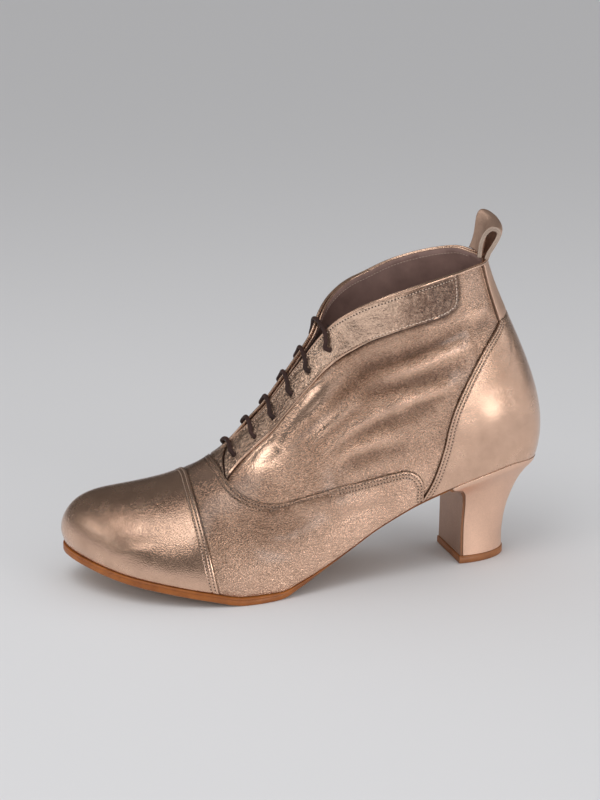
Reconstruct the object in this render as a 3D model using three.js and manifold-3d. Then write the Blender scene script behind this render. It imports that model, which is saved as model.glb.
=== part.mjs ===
// Heeled lace-up ankle boot, left foot. Millimetres, +X towards the toe, +Y the outer side, +Z up.
// The origin is the middle of the heel's flat tread, on the ground.
import * as THREE from "three";
import Module from "manifold-3d";

const wasm = await Module();
wasm.setup();

// Last
const FOOT_LENGTH = 252; // foot line, from the back datum to the toe tip
const SEAT_BACK = 34.25; // back datum behind the middle of the heel's tread
const BALL_WIDTH = 87; // foot line's width across the ball
const INSTEP_HEIGHT = 62; // ridge above the foot line where the throat starts
const SHAFT_HEIGHT = 109; // collar above the foot line at the back
const COLLAR_WIDTH = 60;
const HEEL_HEIGHT = 55; // foot line above the ground at the seat
const TOE_SPRING = 15.5; // outsole's underside above the ground at the toe tip

// Leather
const WALL = 1.8; // upper and its lining
const LAYER = 1; // a panel laid on the upper
const CAP_RISE = 0.5; // how much thicker the toe cap is than the other panels
const CLEAR = 0.3; // gap between pieces that meet
const SOLE_THICKNESS = 4;
const WAIST_THICKNESS = 3;
const SOLE_EDGE = 1.5; // outsole beyond the upper at the forefoot
const SOLE_ROUND = 0.6; // rounding of the outsole's edge
const INSOLE_THICKNESS = 2;

// Heel
const TREAD_LENGTH = 27.5;
const TREAD_WIDTH = 34;
const TOP_LIFT = 4;
const TOP_LIFT_EDGE = 0.6; // top lift beyond the block above it
const BREAST_FLAP = 1.3;
const BREAST_TOP = 23.6; // top of the heel's breast ahead of the tread's middle

// Throat
const EYELET_HOLE = 3.6;
const EYELET_INSET = 9; // eyelet's middle from the throat's edge
const LACE = 2.2;
const LACE_BEND = 1.9; // bend of the lace's middle line over an eyelet's rim
const LACE_RETURN = 4; // hidden end beside the row of eyelets
const TONGUE_THICKNESS = 1.6;
const TONGUE_HALF = 18;

// Back strap and pull loop
const STRAP_THICKNESS = 2.4;
const LOOP_HALF = 8;
const LOOP_HEIGHT = 16.2;
const LOOP_DEPTH = 6; // loop's hang behind the collar
const LOOP_TWIST = 0.3; // rise of the loop's top towards the inner side, a share of the distance across
const LOOP_TURN = 0.2; // how far the loop's foot turns to the outer side, the same way

// Stations round the boot, from the middle of the heel's back to the toe tip. Shares of FOOT_LENGTH: at, topAt.
// Shares of BALL_WIDTH: outer, inner, lean. Of SHAFT_HEIGHT: shaft, hoist. Of INSTEP_HEIGHT: instep. Of
// COLLAR_WIDTH: open. The section's foot handle leans out by swell and its top handle by spread, shares of its
// chord, and lift and drop are the handles' lengths; turn is the foot handle's direction in degrees from square.
const STATION_COLUMNS =
  "at outer inner turn lift swell topAt shaft instep hoist open lean drop spread";
const STATIONS = [
  [0.01, 0, 0, 90, 0.315, 0.195, 0.127, 0.989, 0, 0, 0, 0, 0.29, 0],
  [0.026, 0.149, -0.147, 58, 0.315, 0.15, 0.14, 0.986, 0, 0.028, 0.15, 0, 0.3, 0],
  [0.067, 0.239, -0.233, 28, 0.33, 0.11, 0.173, 0.995, 0, 0.048, 0.292, 0, 0.32, -0.01],
  [0.131, 0.299, -0.287, 10, 0.34, 0.08, 0.234, 1.015, 0, 0.039, 0.433, 0, 0.34, -0.02],
  [0.206, 0.326, -0.308, 3, 0.35, 0.06, 0.306, 1.037, 0, 0.024, 0.497, 0, 0.34, -0.03],
  [0.282, 0.341, -0.294, 0, 0.36, 0.045, 0.373, 0.957, 0.187, 0.011, 0.472, 0, 0.34, -0.02],
  [0.357, 0.354, -0.285, 0, 0.38, 0.035, 0.433, 0.807, 0.473, 0.012, 0.358, 0, 0.3, 0.01],
  [0.425, 0.374, -0.293, 0, 0.4, 0.025, 0.472, 0.625, 0.732, 0.02, 0.2, 0, 0.22, 0.08],
  [0.484, 0.408, -0.322, 0, 0.42, 0.02, 0.502, 0.434, 0.932, 0.024, 0.075, -0.006, 0.15, 0.14],
  [0.544, 0.451, -0.366, 0, 0.44, 0.02, 0.552, 0.259, 1.061, 0.018, 0.053, -0.011, 0.13, 0.17],
  [0.607, 0.492, -0.414, 0, 0.46, 0.02, 0.619, 0.108, 1.076, 0.011, 0.043, -0.023, 0.11, 0.22],
  [0.671, 0.514, -0.455, 0, 0.48, 0.03, 0.687, 0, 1.012, 0, 0, -0.04, 0.05, 0.32],
  [0.734, 0.506, -0.476, 0, 0.5, 0.035, 0.75, 0, 0.798, 0, 0, -0.063, 0, 0.37],
  [0.794, 0.467, -0.474, 0, 0.52, 0.035, 0.813, 0, 0.666, 0, 0, -0.086, 0, 0.38],
  [0.853, 0.394, -0.451, 0, 0.54, 0.035, 0.877, 0, 0.58, 0, 0, -0.109, 0, 0.38],
  [0.909, 0.285, -0.409, 0, 0.56, 0.03, 0.933, 0, 0.498, 0, 0, -0.132, 0, 0.38],
  [0.952, 0.152, -0.353, 0, 0.56, 0.03, 0.976, 0, 0.38, 0, 0, -0.149, 0, 0.38],
  [0.981, 0.025, -0.292, 0, 0.56, 0.03, 1, 0, 0.237, 0, 0, -0.163, 0, 0.38],
  [0.996, -0.08, -0.232, 0, 0.56, 0.03, 1.007, 0, 0.113, 0, 0, -0.17, 0, 0.38],
  [1, -0.172, -0.172, 0, 0.56, 0.03, 1, 0, 0, 0, 0, -0.172, 0, 0.38],
];
// Columns that start level, and those that end level; the others run on straight.
const LEVEL_START = "at lift swell topAt shaft instep lean drop spread";
const LEVEL_END = "at turn lift swell lean drop spread";
const LAST_STATION = STATIONS.length - 1;
const THROAT_STATION = 11; // the throat's lower end

// Outsole's underside in side view: share of FOOT_LENGTH, share of the seat's height, share of TOE_SPRING.
const UNDERSIDE = [
  [0, 1, 0],
  [0.075, 1, 0],
  [0.15, 0.935, 0],
  [0.23, 0.83, 0],
  [0.3, 0.712, 0],
  [0.35, 0.6, 0],
  [0.4, 0.475, 0],
  [0.455, 0.315, 0],
  [0.515, 0.163, 0],
  [0.565, 0.058, 0],
  [0.605, 0, 0],
  [0.677, 0, 0],
  [0.75, 0, 0.22],
  [0.82, 0, 0.43],
  [0.9, 0, 0.64],
  [1, 0, 1],
];
// Where the outsole changes from its waist to its full thickness, shares of FOOT_LENGTH.
const WAIST_END = 0.42;
const BALL_START = 0.56;
// Outsole's edge beyond the foot line: station, share of SOLE_EDGE.
const SOLE_EDGE_ROWS = [
  [3, -1.7],
  [7.3, -1.7],
  [8.4, -0.4],
  [9.4, 0.7],
  [10.5, 1],
  [19, 1],
];

// Heel block, from the top lift up to the seat: share of the height, back edge, breast and half width as shares
// of TREAD_LENGTH and TREAD_WIDTH from the tread's middle, and how far the outline has turned into the seat's.
const HEEL_ROWS = [
  [0, -0.545, 0.451, 0.5, 0],
  [0.12, -0.542, 0.451, 0.492, 0],
  [0.3, -0.57, 0.451, 0.486, 0],
  [0.45, -0.63, 0.445, 0.492, 0],
  [0.6, -0.73, 0.44, 0.512, 0],
  [0.75, -0.85, 0.45, 0.56, 0.05],
  [0.87, -0.97, 0.5, 0.65, 0.25],
  [0.95, -1.06, 0.63, 0.77, 0.7],
  [1, -1.15, 0.858, 0.88, 1],
];
const HEEL_SIDE = 0.45; // reach of the straight side, share of the section's length
const HEEL_BACK = 0.62; // reach of the back's round, share of the half width

// Seams on the outer side, as station and share of the way up the section.
const CAP_SEAM = [
  [11.97, 0],
  [12.06, 0.15],
  [12.11, 0.3],
  [12.16, 0.5],
  [12.16, 0.77],
  [12.11, 1],
];
const VAMP_SEAM = [
  [11.3, 1],
  [11.25, 0.88],
  [11.11, 0.7],
  [10.93, 0.6],
  [10.64, 0.517],
  [10.31, 0.458],
  [9.74, 0.4],
  [9.07, 0.342],
  [8.03, 0.283],
  [7.08, 0.24],
  [6.32, 0.208],
  [5.84, 0.19],
  [5.42, 0.167],
  [5.2, 0.133],
  [5.08, 0.083],
  [5.13, 0.02],
  [5.27, 0],
];
const FACING_SEAM = [
  [11.4, 0.65],
  [11.11, 0.717],
  [10.31, 0.783],
  [9.5, 0.792],
  [8.69, 0.792],
  [7.51, 0.792],
  [6.56, 0.808],
  [5.65, 0.828],
  [4.84, 0.833],
  [3.99, 0.828],
  [3.37, 0.835],
  [3.14, 0.85],
  [2.99, 0.9],
  [2.9, 1],
];
const COUNTER_SEAM = [
  [1.43, 0.717],
  [2.04, 0.667],
  [2.66, 0.6],
  [3.14, 0.525],
  [3.47, 0.458],
  [3.8, 0.383],
  [4.08, 0.3],
  [4.32, 0.208],
  [4.56, 0.125],
  [4.75, 0.067],
  [4.99, 0],
];
const STRAP_SEAM = [
  [1.48, 0.717],
  [1.47, 0.81],
  [1.43, 0.9],
  [1.38, 1],
];
// The outer facing's front edge below the throat, where the inner facing runs on under the vamp.
const FACING_FRONT = [
  [10.6, 0.99],
  [10.78, 0.96],
  [10.95, 0.9],
  [11.05, 0.82],
  [11.12, 0.74],
  [11.25, 0.66],
];
const THROAT_MIDDLE = -0.029; // share of BALL_WIDTH

// Eyelets of one side, from the throat's foot up: station, share of EYELET_INSET.
const EYELETS = [
  [10.74, 1.33],
  [10.12, 1.14],
  [9.55, 1.04],
  [8.98, 1],
  [8.31, 0.98],
  [7.25, 1.1],
];

// Pull loop's middle line in side view, from the strap's end over and back to the lining's edge. Behind the
// collar a share of LOOP_DEPTH, ahead of it a share of the way across the rim; then a share of LOOP_HEIGHT.
const LOOP_LINE = [
  [0.09, 0.035],
  [-0.075, 0.195],
  [-0.46, 0.42],
  [-0.84, 0.65],
  [-1, 0.81],
  [-0.925, 0.92],
  [-0.61, 0.98],
  [-0.275, 0.98],
  [0.21, 0.865],
  [0.6, 0.66],
  [0.8, 0.39],
  [0.88, 0.1],
];

// Interpolation

// Slopes of a smooth curve through rows at whole stations, level or straight at its ends.
function splineSlopes(y, levelStart, levelEnd) {
  const n = y.length;
  const diagonal = new Array(n);
  const right = new Array(n);
  diagonal[0] = levelStart ? 1 : 2;
  right[0] = levelStart ? 0 : 3 * (y[1] - y[0]);
  let above = levelStart ? 0 : 1;
  for (let i = 1; i < n; i++) {
    const last = i === n - 1;
    const below = last && levelEnd ? 0 : 1;
    const middle = last ? (levelEnd ? 1 : 2) : 4;
    const value = last
      ? levelEnd
        ? 0
        : 3 * (y[i] - y[i - 1])
      : 3 * (y[i + 1] - y[i - 1]);
    const factor = below / diagonal[i - 1];
    diagonal[i] = middle - factor * above;
    right[i] = value - factor * right[i - 1];
    above = 1;
  }
  const slopes = new Array(n);
  slopes[n - 1] = right[n - 1] / diagonal[n - 1];
  for (let i = n - 2; i >= 0; i--) {
    const next = i === 0 && levelStart ? 0 : 1;
    slopes[i] = (right[i] - next * slopes[i + 1]) / diagonal[i];
  }
  return slopes;
}

// Slopes that never overshoot, for rows at any spacing.
function steadySlopes(x, y) {
  const n = x.length;
  const step = x.slice(1).map((value, i) => value - x[i]);
  const rise = step.map((width, i) => (y[i + 1] - y[i]) / width);
  const slopes = new Array(n).fill(0);
  for (let i = 1; i < n - 1; i++) {
    if (rise[i - 1] * rise[i] > 0) {
      const a = 2 * step[i] + step[i - 1];
      const b = step[i] + 2 * step[i - 1];
      slopes[i] = (a + b) / (a / rise[i - 1] + b / rise[i]);
    }
  }
  slopes[0] = rise[0];
  slopes[n - 1] = rise[n - 2];
  return slopes;
}

function interpolate(x, y, slopes, at) {
  const q = Math.min(Math.max(at, x[0]), x[x.length - 1]);
  let i = 0;
  while (i < x.length - 2 && q >= x[i + 1]) i++;
  const h = x[i + 1] - x[i];
  const t = (q - x[i]) / h;
  return (
    (1 + 2 * t) * (1 - t) ** 2 * y[i] +
    t * (1 - t) ** 2 * h * slopes[i] +
    t * t * (3 - 2 * t) * y[i + 1] +
    t * t * (t - 1) * h * slopes[i + 1]
  );
}

function steadyCurve(x, y) {
  const slopes = steadySlopes(x, y);
  return (at) => interpolate(x, y, slopes, at);
}

const smooth = (t) => t * t * (3 - 2 * t);
const share = (value, from, to) =>
  Math.min(Math.max((value - from) / (to - from), 0), 1);

// Sole line

const along = (part) => part * FOOT_LENGTH - SEAT_BACK;
const seatRise = HEEL_HEIGHT - WAIST_THICKNESS - CLEAR;
const underside = steadyCurve(
  UNDERSIDE.map((row) => along(row[0])),
  UNDERSIDE.map((row) => row[1] * seatRise + row[2] * TOE_SPRING),
);
const soleThickness = (x) =>
  WAIST_THICKNESS +
  (SOLE_THICKNESS - WAIST_THICKNESS) *
    smooth(share(x, along(WAIST_END), along(BALL_START)));
const footHeight = (x) => underside(x) + soleThickness(x) + CLEAR;

// The boot's outer surface. A place on it is round, from -1 at the toe tip by the inner side, 0 at the heel's
// back, to 1 at the toe tip by the outer side, and up, from 0 at the foot line to 1 at the collar or the ridge.

const stationNumbers = STATIONS.map((row, i) => i);
const columns = {};
STATION_COLUMNS.split(" ").forEach((name, c) => {
  const values = STATIONS.map((row) => row[c]);
  const steady = name === "open" || name === "hoist";
  const slopes = steady
    ? steadySlopes(stationNumbers, values)
    : splineSlopes(
        values,
        LEVEL_START.split(" ").includes(name),
        LEVEL_END.split(" ").includes(name),
      );
  columns[name] = (station) =>
    interpolate(stationNumbers, values, slopes, station);
});

function footPoint(round) {
  const station = Math.abs(round) * LAST_STATION;
  const x = along(columns.at(station));
  const y = (round > 0 ? columns.outer : columns.inner)(station) * BALL_WIDTH;
  return new THREE.Vector3(x, y, footHeight(x));
}

function topPoint(round) {
  const side = round > 0 ? 1 : -1;
  const station = Math.abs(round) * LAST_STATION;
  const x = along(columns.topAt(station));
  const y =
    columns.lean(station) * BALL_WIDTH +
    side * columns.open(station) * COLLAR_WIDTH;
  const hoist = side < 0 ? columns.hoist(station) : 0;
  const z =
    footHeight(x) +
    (columns.shaft(station) + hoist) * SHAFT_HEIGHT +
    columns.instep(station) * INSTEP_HEIGHT;
  return new THREE.Vector3(x, y, z);
}

function section(round) {
  const side = round > 0 ? 1 : -1;
  const station = Math.abs(round) * LAST_STATION;
  const foot = footPoint(round);
  const top = topPoint(round);
  const chord = foot.distanceTo(top);
  const rise = top.clone().sub(foot).setY(0);
  const turn = THREE.MathUtils.degToRad(columns.turn(station));
  const out = new THREE.Vector3(-Math.sin(turn), side * Math.cos(turn), 0);
  const low = foot
    .clone()
    .addScaledVector(rise, columns.lift(station))
    .addScaledVector(out, columns.swell(station) * chord);
  const high = top
    .clone()
    .addScaledVector(rise, -columns.drop(station))
    .add(new THREE.Vector3(0, side * columns.spread(station) * chord, 0));
  return new THREE.CubicBezierCurve3(foot, low, high, top);
}

const sections = new Map();
function surfacePoint(round, up) {
  const key = Math.round(round * 1e7);
  if (!sections.has(key)) sections.set(key, section(round));
  return sections.get(key).getPoint(up);
}

const NUDGE = 2e-4;
function rawNormal(round, up) {
  const after = surfacePoint(Math.min(round + NUDGE, 1), up);
  const before = surfacePoint(Math.max(round - NUDGE, -1), up);
  const above = surfacePoint(round, up + NUDGE);
  const below = surfacePoint(round, up - NUDGE);
  return above.sub(below).cross(after.sub(before)).normalize();
}

const throatRound = THROAT_STATION / LAST_STATION;
const tipRound = 0.985;
const tipNormal = rawNormal(tipRound, 0.5)
  .add(rawNormal(-tipRound, 0.5))
  .setZ(0)
  .normalize();
function surfaceNormal(round, up) {
  if (Math.abs(round) > 0.9999) return tipNormal.clone();
  const normal = rawNormal(round, up);
  if (up === 1 && Math.abs(round) > throatRound - 1e-6)
    normal.add(rawNormal(-round, up)).normalize();
  if (up === 0) normal.setZ(0).normalize();
  return normal;
}

// A place on the surface, moved out by a distance; on the foot line it stays at the foot's height.
function place(round, up, out) {
  const tip = Math.abs(round) > 0.9999;
  const point = surfacePoint(round, tip ? 0 : up).addScaledVector(
    surfaceNormal(round, up),
    out,
  );
  if (up === 0 || tip) point.z = footHeight(point.x);
  return point;
}

// The share of the way up a section that lies a distance below its top.
function belowTop(round, distance) {
  const steps = 200;
  let before = surfacePoint(round, 1);
  let length = 0;
  for (let i = steps - 1; i >= 0; i--) {
    const point = surfacePoint(round, i / steps);
    const step = point.distanceTo(before);
    if (length + step >= distance)
      return (i + 1 - (distance - length) / step) / steps;
    length += step;
    before = point;
  }
  return 0;
}

// Solids

// A closed solid from points and triangles; points that coincide are joined and flat triangles left out.
function solidOf(points, triangles) {
  const numbers = new Map();
  const kept = [];
  const index = points.map((point) => {
    const key = [point.x, point.y, point.z]
      .map((value) => Math.round(value * 2000))
      .join();
    if (!numbers.has(key)) {
      numbers.set(key, kept.length / 3);
      kept.push(point.x, point.y, point.z);
    }
    return numbers.get(key);
  });
  const faces = triangles
    .map((corners) => corners.map((corner) => index[corner]))
    .filter(([a, b, c]) => a !== b && b !== c && c !== a);
  return new wasm.Manifold(
    new wasm.Mesh({
      numProp: 3,
      vertProperties: new Float32Array(kept),
      triVerts: new Uint32Array(faces.flat()),
    }),
  );
}

// A solid through rings of points, each ring anticlockwise as seen from the first ring's outside backwards:
// the sides join ring to ring, and both ends are closed with strips across.
function loft(rings, closed = true) {
  const count = rings[0].length;
  const points = rings.flat();
  const triangles = [];
  for (let r = 0; r < rings.length - 1; r++) {
    for (let i = 0; i < count; i++) {
      const a = r * count + i;
      const b = r * count + ((i + 1) % count);
      triangles.push([a, b, b + count], [a, b + count, a + count]);
    }
  }
  if (closed) {
    for (const [start, forward] of [
      [0, false],
      [(rings.length - 1) * count, true],
    ]) {
      for (let i = 0; i < count / 2 - 1; i++) {
        const a = start + i;
        const b = start + i + 1;
        const c = start + count - 2 - i;
        const d = start + count - 1 - i;
        const pair = [
          [a, b, c],
          [a, c, d],
        ];
        for (const corners of pair)
          triangles.push(forward ? corners : corners.reverse());
      }
    }
  }
  const made = solidOf(points, triangles);
  return made.volume() < 0
    ? solidOf(
        points,
        triangles.map(([a, b, c]) => [a, c, b]),
      )
    : made;
}

function fromGeometry(geometry) {
  const plain = geometry.index ? geometry.toNonIndexed() : geometry;
  const position = plain.getAttribute("position");
  const points = [];
  const triangles = [];
  for (let i = 0; i < position.count; i++) {
    points.push(new THREE.Vector3().fromBufferAttribute(position, i));
    if (i % 3 === 2) triangles.push([i - 2, i - 1, i]);
  }
  return solidOf(points, triangles);
}

// A block with an outline in side view, from one side of the boot to the other.
function sideBlock(outline, from = -BALL_WIDTH, to = BALL_WIDTH) {
  const shape = new THREE.Shape(
    outline.map(([x, z]) => new THREE.Vector2(x, z)),
  );
  const geometry = new THREE.ExtrudeGeometry(shape, {
    depth: to - from,
    bevelEnabled: false,
  });
  geometry.rotateX(Math.PI / 2).translate(0, to, 0);
  return fromGeometry(geometry);
}

// A block with an outline as seen from above, through the whole height.
function topBlock(outline) {
  const shape = new THREE.Shape(
    outline.map(([x, y]) => new THREE.Vector2(x, y)),
  );
  const depth = 2 * (HEEL_HEIGHT + SHAFT_HEIGHT);
  return fromGeometry(
    new THREE.ExtrudeGeometry(shape, { depth, bevelEnabled: false }),
  );
}

// A seam's points in side view.
const sideView = (seam) =>
  seam.map(([station, up]) => {
    const point = surfacePoint(station / LAST_STATION, up);
    return [point.x, point.z];
  });

function mesh(name, solid, material) {
  const made = solid.getMesh();
  const geometry = new THREE.BufferGeometry();
  geometry.setAttribute(
    "position",
    new THREE.BufferAttribute(new Float32Array(made.vertProperties), 3),
  );
  geometry.setIndex(
    new THREE.BufferAttribute(new Uint32Array(made.triVerts), 1),
  );
  geometry.computeVertexNormals();
  const result = new THREE.Mesh(geometry, material);
  result.name = name;
  return result;
}

// Materials
const metallicLeather = new THREE.MeshStandardMaterial({
  color: 0xb8917a,
  roughness: 0.36,
  metalness: 0.7,
});
const tanLeather = new THREE.MeshStandardMaterial({
  color: 0xb5692e,
  roughness: 0.5,
  metalness: 0,
});
const lining = new THREE.MeshStandardMaterial({
  color: 0x6a5350,
  roughness: 0.75,
  metalness: 0,
});
const darkCord = new THREE.MeshStandardMaterial({
  color: 0x35221f,
  roughness: 0.6,
  metalness: 0,
});

// Upper

const HALF_STEPS = 2 * LAST_STATION;
const UP_STEPS = 9;
const rounds = [];
for (let i = -HALF_STEPS; i <= HALF_STEPS; i++) rounds.push(i / HALF_STEPS);

// A layer that follows the surface all round between two distances out of it, open underneath, along the
// throat and at the collar.
function layer(inside, outside) {
  const points = [];
  for (const out of [outside, inside])
    for (const round of rounds)
      for (let j = 0; j <= UP_STEPS; j++)
        points.push(place(round, j / UP_STEPS, out));
  const inner = rounds.length * (UP_STEPS + 1);
  const at = (i, j) => i * (UP_STEPS + 1) + j;
  const triangles = [];
  for (let i = 0; i < rounds.length - 1; i++) {
    for (let j = 0; j < UP_STEPS; j++) {
      const [a, b, c, d] = [at(i, j), at(i, j + 1), at(i + 1, j), at(i + 1, j + 1)];
      triangles.push([a, b, c], [b, d, c]);
      triangles.push([inner + a, inner + c, inner + b]);
      triangles.push([inner + b, inner + c, inner + d]);
    }
    const [a, c] = [at(i, 0), at(i + 1, 0)];
    triangles.push([a, c, inner + c], [a, inner + c, inner + a]);
    const open =
      Math.max(Math.abs(rounds[i]), Math.abs(rounds[i + 1])) <
      throatRound + 1e-6;
    if (open) {
      const [b, d] = [at(i, UP_STEPS), at(i + 1, UP_STEPS)];
      triangles.push([d, b, inner + b], [d, inner + b, inner + d]);
    }
  }
  return solidOf(points, triangles);
}

const baseOut = -(LAYER + CLEAR);
const liningOut = baseOut - WALL;
const panel = layer(-LAYER, 0);

const eyeletPlaces = [-1, 1].map((side) =>
  EYELETS.map(([station, inset]) => {
    const round = (side * station) / LAST_STATION;
    const up = belowTop(round, inset * EYELET_INSET);
    return { round, up };
  }),
);
const eyeletPunches = eyeletPlaces.flat().map(({ round, up }) => {
  const punch = new THREE.CylinderGeometry(
    EYELET_HOLE / 2,
    EYELET_HOLE / 2,
    4 * (WALL + LAYER),
    10,
  );
  const normal = surfaceNormal(round, up);
  punch.applyQuaternion(
    new THREE.Quaternion().setFromUnitVectors(
      new THREE.Vector3(0, 1, 0),
      normal,
    ),
  );
  const middle = place(round, up, baseOut);
  punch.translate(middle.x, middle.y, middle.z);
  return fromGeometry(punch);
});
const punched = (solid) =>
  eyeletPunches.reduce((left, punch) => left.subtract(punch), solid);

const upper = punched(layer(liningOut, baseOut));

// Panels, cut from one layer over the upper by their seams

const OVER = SHAFT_HEIGHT; // how far a cutting block runs past the boot
const capLine = sideView(CAP_SEAM);
const vampLine = sideView(VAMP_SEAM);
const facingLine = sideView(FACING_SEAM);
const counterLine = sideView(COUNTER_SEAM);
const strapLine = sideView(STRAP_SEAM);
const shifted = (line, x, z) => line.map((point) => [point[0] + x, point[1] + z]);
const first = (line) => line[0];
const final = (line) => line[line.length - 1];

const capBlock = sideBlock([
  [first(capLine)[0], first(capLine)[1] - OVER],
  [along(1) + OVER, first(capLine)[1] - OVER],
  [along(1) + OVER, final(capLine)[1] + OVER],
  [final(capLine)[0], final(capLine)[1] + OVER],
  ...[...capLine].reverse(),
]);
const toeCap = layer(-LAYER, CAP_RISE).intersect(capBlock);

const vampEdge = shifted(capLine, -CLEAR, 0);
const vampOutline = (line) => [
  [first(line)[0], first(line)[1] + OVER],
  ...line,
  [final(line)[0], final(line)[1] - OVER],
  [first(vampEdge)[0], first(vampEdge)[1] - OVER],
  ...vampEdge,
  [final(vampEdge)[0], final(vampEdge)[1] + OVER],
];
const vamp = panel.intersect(sideBlock(vampOutline(vampLine)));

const facingFront = (first(vampLine)[0] + final(capLine)[0]) / 2;
const facingOutline = [
  [final(facingLine)[0], final(facingLine)[1] + OVER],
  ...[...facingLine].reverse(),
  [facingFront, first(facingLine)[1]],
  [facingFront, final(facingLine)[1] + OVER],
];
const vampKept = sideBlock(vampOutline(shifted(vampLine, -CLEAR, CLEAR)));
const throatMiddle = THROAT_MIDDLE * BALL_WIDTH;
const facingEdge = FACING_FRONT.map(([station, up]) => {
  const point = surfacePoint(station / LAST_STATION, up);
  return [point.x, point.y];
});
// The facings part along this line as seen from above.
const partLine = (gap) => [
  [-OVER, throatMiddle + gap],
  [first(facingEdge)[0], throatMiddle + gap],
  ...shifted(facingEdge, -gap, gap),
  [final(facingEdge)[0] - gap, BALL_WIDTH],
];
const facings = punched(panel)
  .intersect(sideBlock(facingOutline))
  .subtract(vampKept);
const outerFacing = facings.intersect(
  topBlock([...partLine(CLEAR / 2), [-OVER, BALL_WIDTH]]),
);
const innerFacing = facings.intersect(
  topBlock([
    ...partLine(-CLEAR / 2),
    [along(1), BALL_WIDTH],
    [along(1), -BALL_WIDTH],
    [-OVER, -BALL_WIDTH],
  ]),
);

const counter = panel.intersect(
  sideBlock([
    [-OVER, first(counterLine)[1]],
    ...counterLine,
    [final(counterLine)[0], final(counterLine)[1] - OVER],
    [-OVER, final(counterLine)[1] - OVER],
  ]),
);
const strap = panel.intersect(
  sideBlock([
    [-OVER, first(counterLine)[1] + CLEAR],
    [first(strapLine)[0], first(counterLine)[1] + CLEAR],
    ...strapLine.slice(1),
    [final(strapLine)[0], final(strapLine)[1] + OVER],
    [-OVER, final(strapLine)[1] + OVER],
  ]),
);

// Pull loop: the strap's end folded over the collar's back

const collarBack = topPoint(0);
const rimAcross = LAYER + WALL + 3 * CLEAR + STRAP_THICKNESS / 2;
const loopCurve = new THREE.CatmullRomCurve3(
  LOOP_LINE.map(([x, z]) => {
    const reach = x < 0 ? LOOP_DEPTH : rimAcross;
    return new THREE.Vector3(x * reach, 0, z * LOOP_HEIGHT);
  }),
  false,
  "centripetal",
);
const LOOP_STEPS = 18;
const LOOP_ACROSS = 3;
// The collar's edge at a distance across the boot's back.
function rimAt(y) {
  const way = y < 0 ? -1 : 1;
  let round = 0;
  while (Math.abs(topPoint(way * round).y) < Math.abs(y) && round < 0.3)
    round += 1e-3;
  return topPoint(way * round);
}
const loopRings = [];
for (let i = 0; i <= LOOP_STEPS; i++) {
  const middle = loopCurve.getPointAt(i / LOOP_STEPS);
  const tangent = loopCurve.getTangentAt(i / LOOP_STEPS);
  const thin = new THREE.Vector3(-tangent.z, 0, tangent.x);
  const height = share(middle.z, 0, LOOP_HEIGHT);
  const turned = height * (1 - height) * 4;
  const ring = [];
  for (const face of [1, -1]) {
    for (let j = 0; j <= LOOP_ACROSS; j++) {
      const y = face * LOOP_HALF * (1 - (2 * j) / LOOP_ACROSS);
      const rim = rimAt(y);
      const point = new THREE.Vector3(
        rim.x + LOOP_TURN * (y - LOOP_HALF) * turned,
        y,
        rim.z + CLEAR - LOOP_TWIST * (y - LOOP_HALF) * height,
      );
      ring.push(
        point.add(middle).addScaledVector(thin, (face * STRAP_THICKNESS) / 2),
      );
    }
  }
  loopRings.push(ring);
}
const pullLoop = loft(loopRings);

// Tongue, under the throat and the lace's hidden runs

const laceUnder = liningOut - LACE - 4 * CLEAR;
const TONGUE_ROWS = [12.5, 12, 11.5, 11, 10.5, 10, 9.5, 9, 8.5, 8, 7.5, 7.2];
const TONGUE_SET = 11.5; // station where the tongue has sunk to its full depth
const tongueRings = TONGUE_ROWS.map((station) => {
  const round = station / LAST_STATION;
  const sunk = smooth(share(station, TONGUE_ROWS[0], TONGUE_SET));
  const shallow = liningOut - 3 * CLEAR;
  const depth = shallow + (laceUnder - shallow) * sunk;
  const middleNormal = surfaceNormal(round, 1)
    .add(surfaceNormal(-round, 1))
    .normalize();
  const middle = topPoint(round).add(topPoint(-round)).multiplyScalar(0.5);
  const ring = [];
  for (const [out, way] of [
    [depth, 1],
    [depth - TONGUE_THICKNESS, -1],
  ]) {
    for (const part of [1, 0.65, 0.38, 0, -0.38, -0.65, -1]) {
      const across = part * way;
      if (across === 0) {
        ring.push(middle.clone().addScaledVector(middleNormal, out));
      } else {
        const side = Math.sign(across) * round;
        ring.push(
          place(side, belowTop(side, Math.abs(across) * TONGUE_HALF), out),
        );
      }
    }
  }
  return ring;
});
const tongue = loft(tongueRings);

// Lace: one cord from eyelet to eyelet, with bars outside and runs inside

const LACE_SIDES = 6;
const LACE_PUFF = 1.15; // the lace's middle line over the facing, in lace radii beyond the clearance
const laceHigh = CLEAR + (LACE_PUFF * LACE) / 2;
const laceLow = liningOut - CLEAR - LACE / 2;
const laceLine = [];
// The lace's way through an eyelet, between the directions in which it leaves inside and outside.
function throughEyelet({ round, up }, towardBar, towardRun, outward) {
  const normal = surfaceNormal(round, up);
  const middle = place(round, up, 0);
  const flat = (direction) =>
    direction
      .clone()
      .addScaledVector(normal, -direction.dot(normal))
      .normalize();
  const bend = (direction, height, sign) =>
    [1, 0.5, 0].map((turn) => {
      const angle = (turn * Math.PI) / 2;
      return middle
        .clone()
        .addScaledVector(flat(direction), LACE_BEND * (1 - Math.cos(angle)))
        .addScaledVector(
          normal,
          height + sign * LACE_BEND * (Math.sin(angle) - 1),
        );
    });
  const above = bend(towardBar, laceHigh, 1);
  const below = bend(towardRun, laceLow, -1).reverse();
  const path = [...above, ...below];
  laceLine.push(...(outward ? path.reverse() : path));
}
const eyeletPoint = (side, i, out) => {
  const { round, up } = eyeletPlaces[side][i];
  return place(round, up, out);
};
const [INNER, OUTER] = [0, 1];
const lastEyelet = EYELETS.length - 1;
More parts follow.
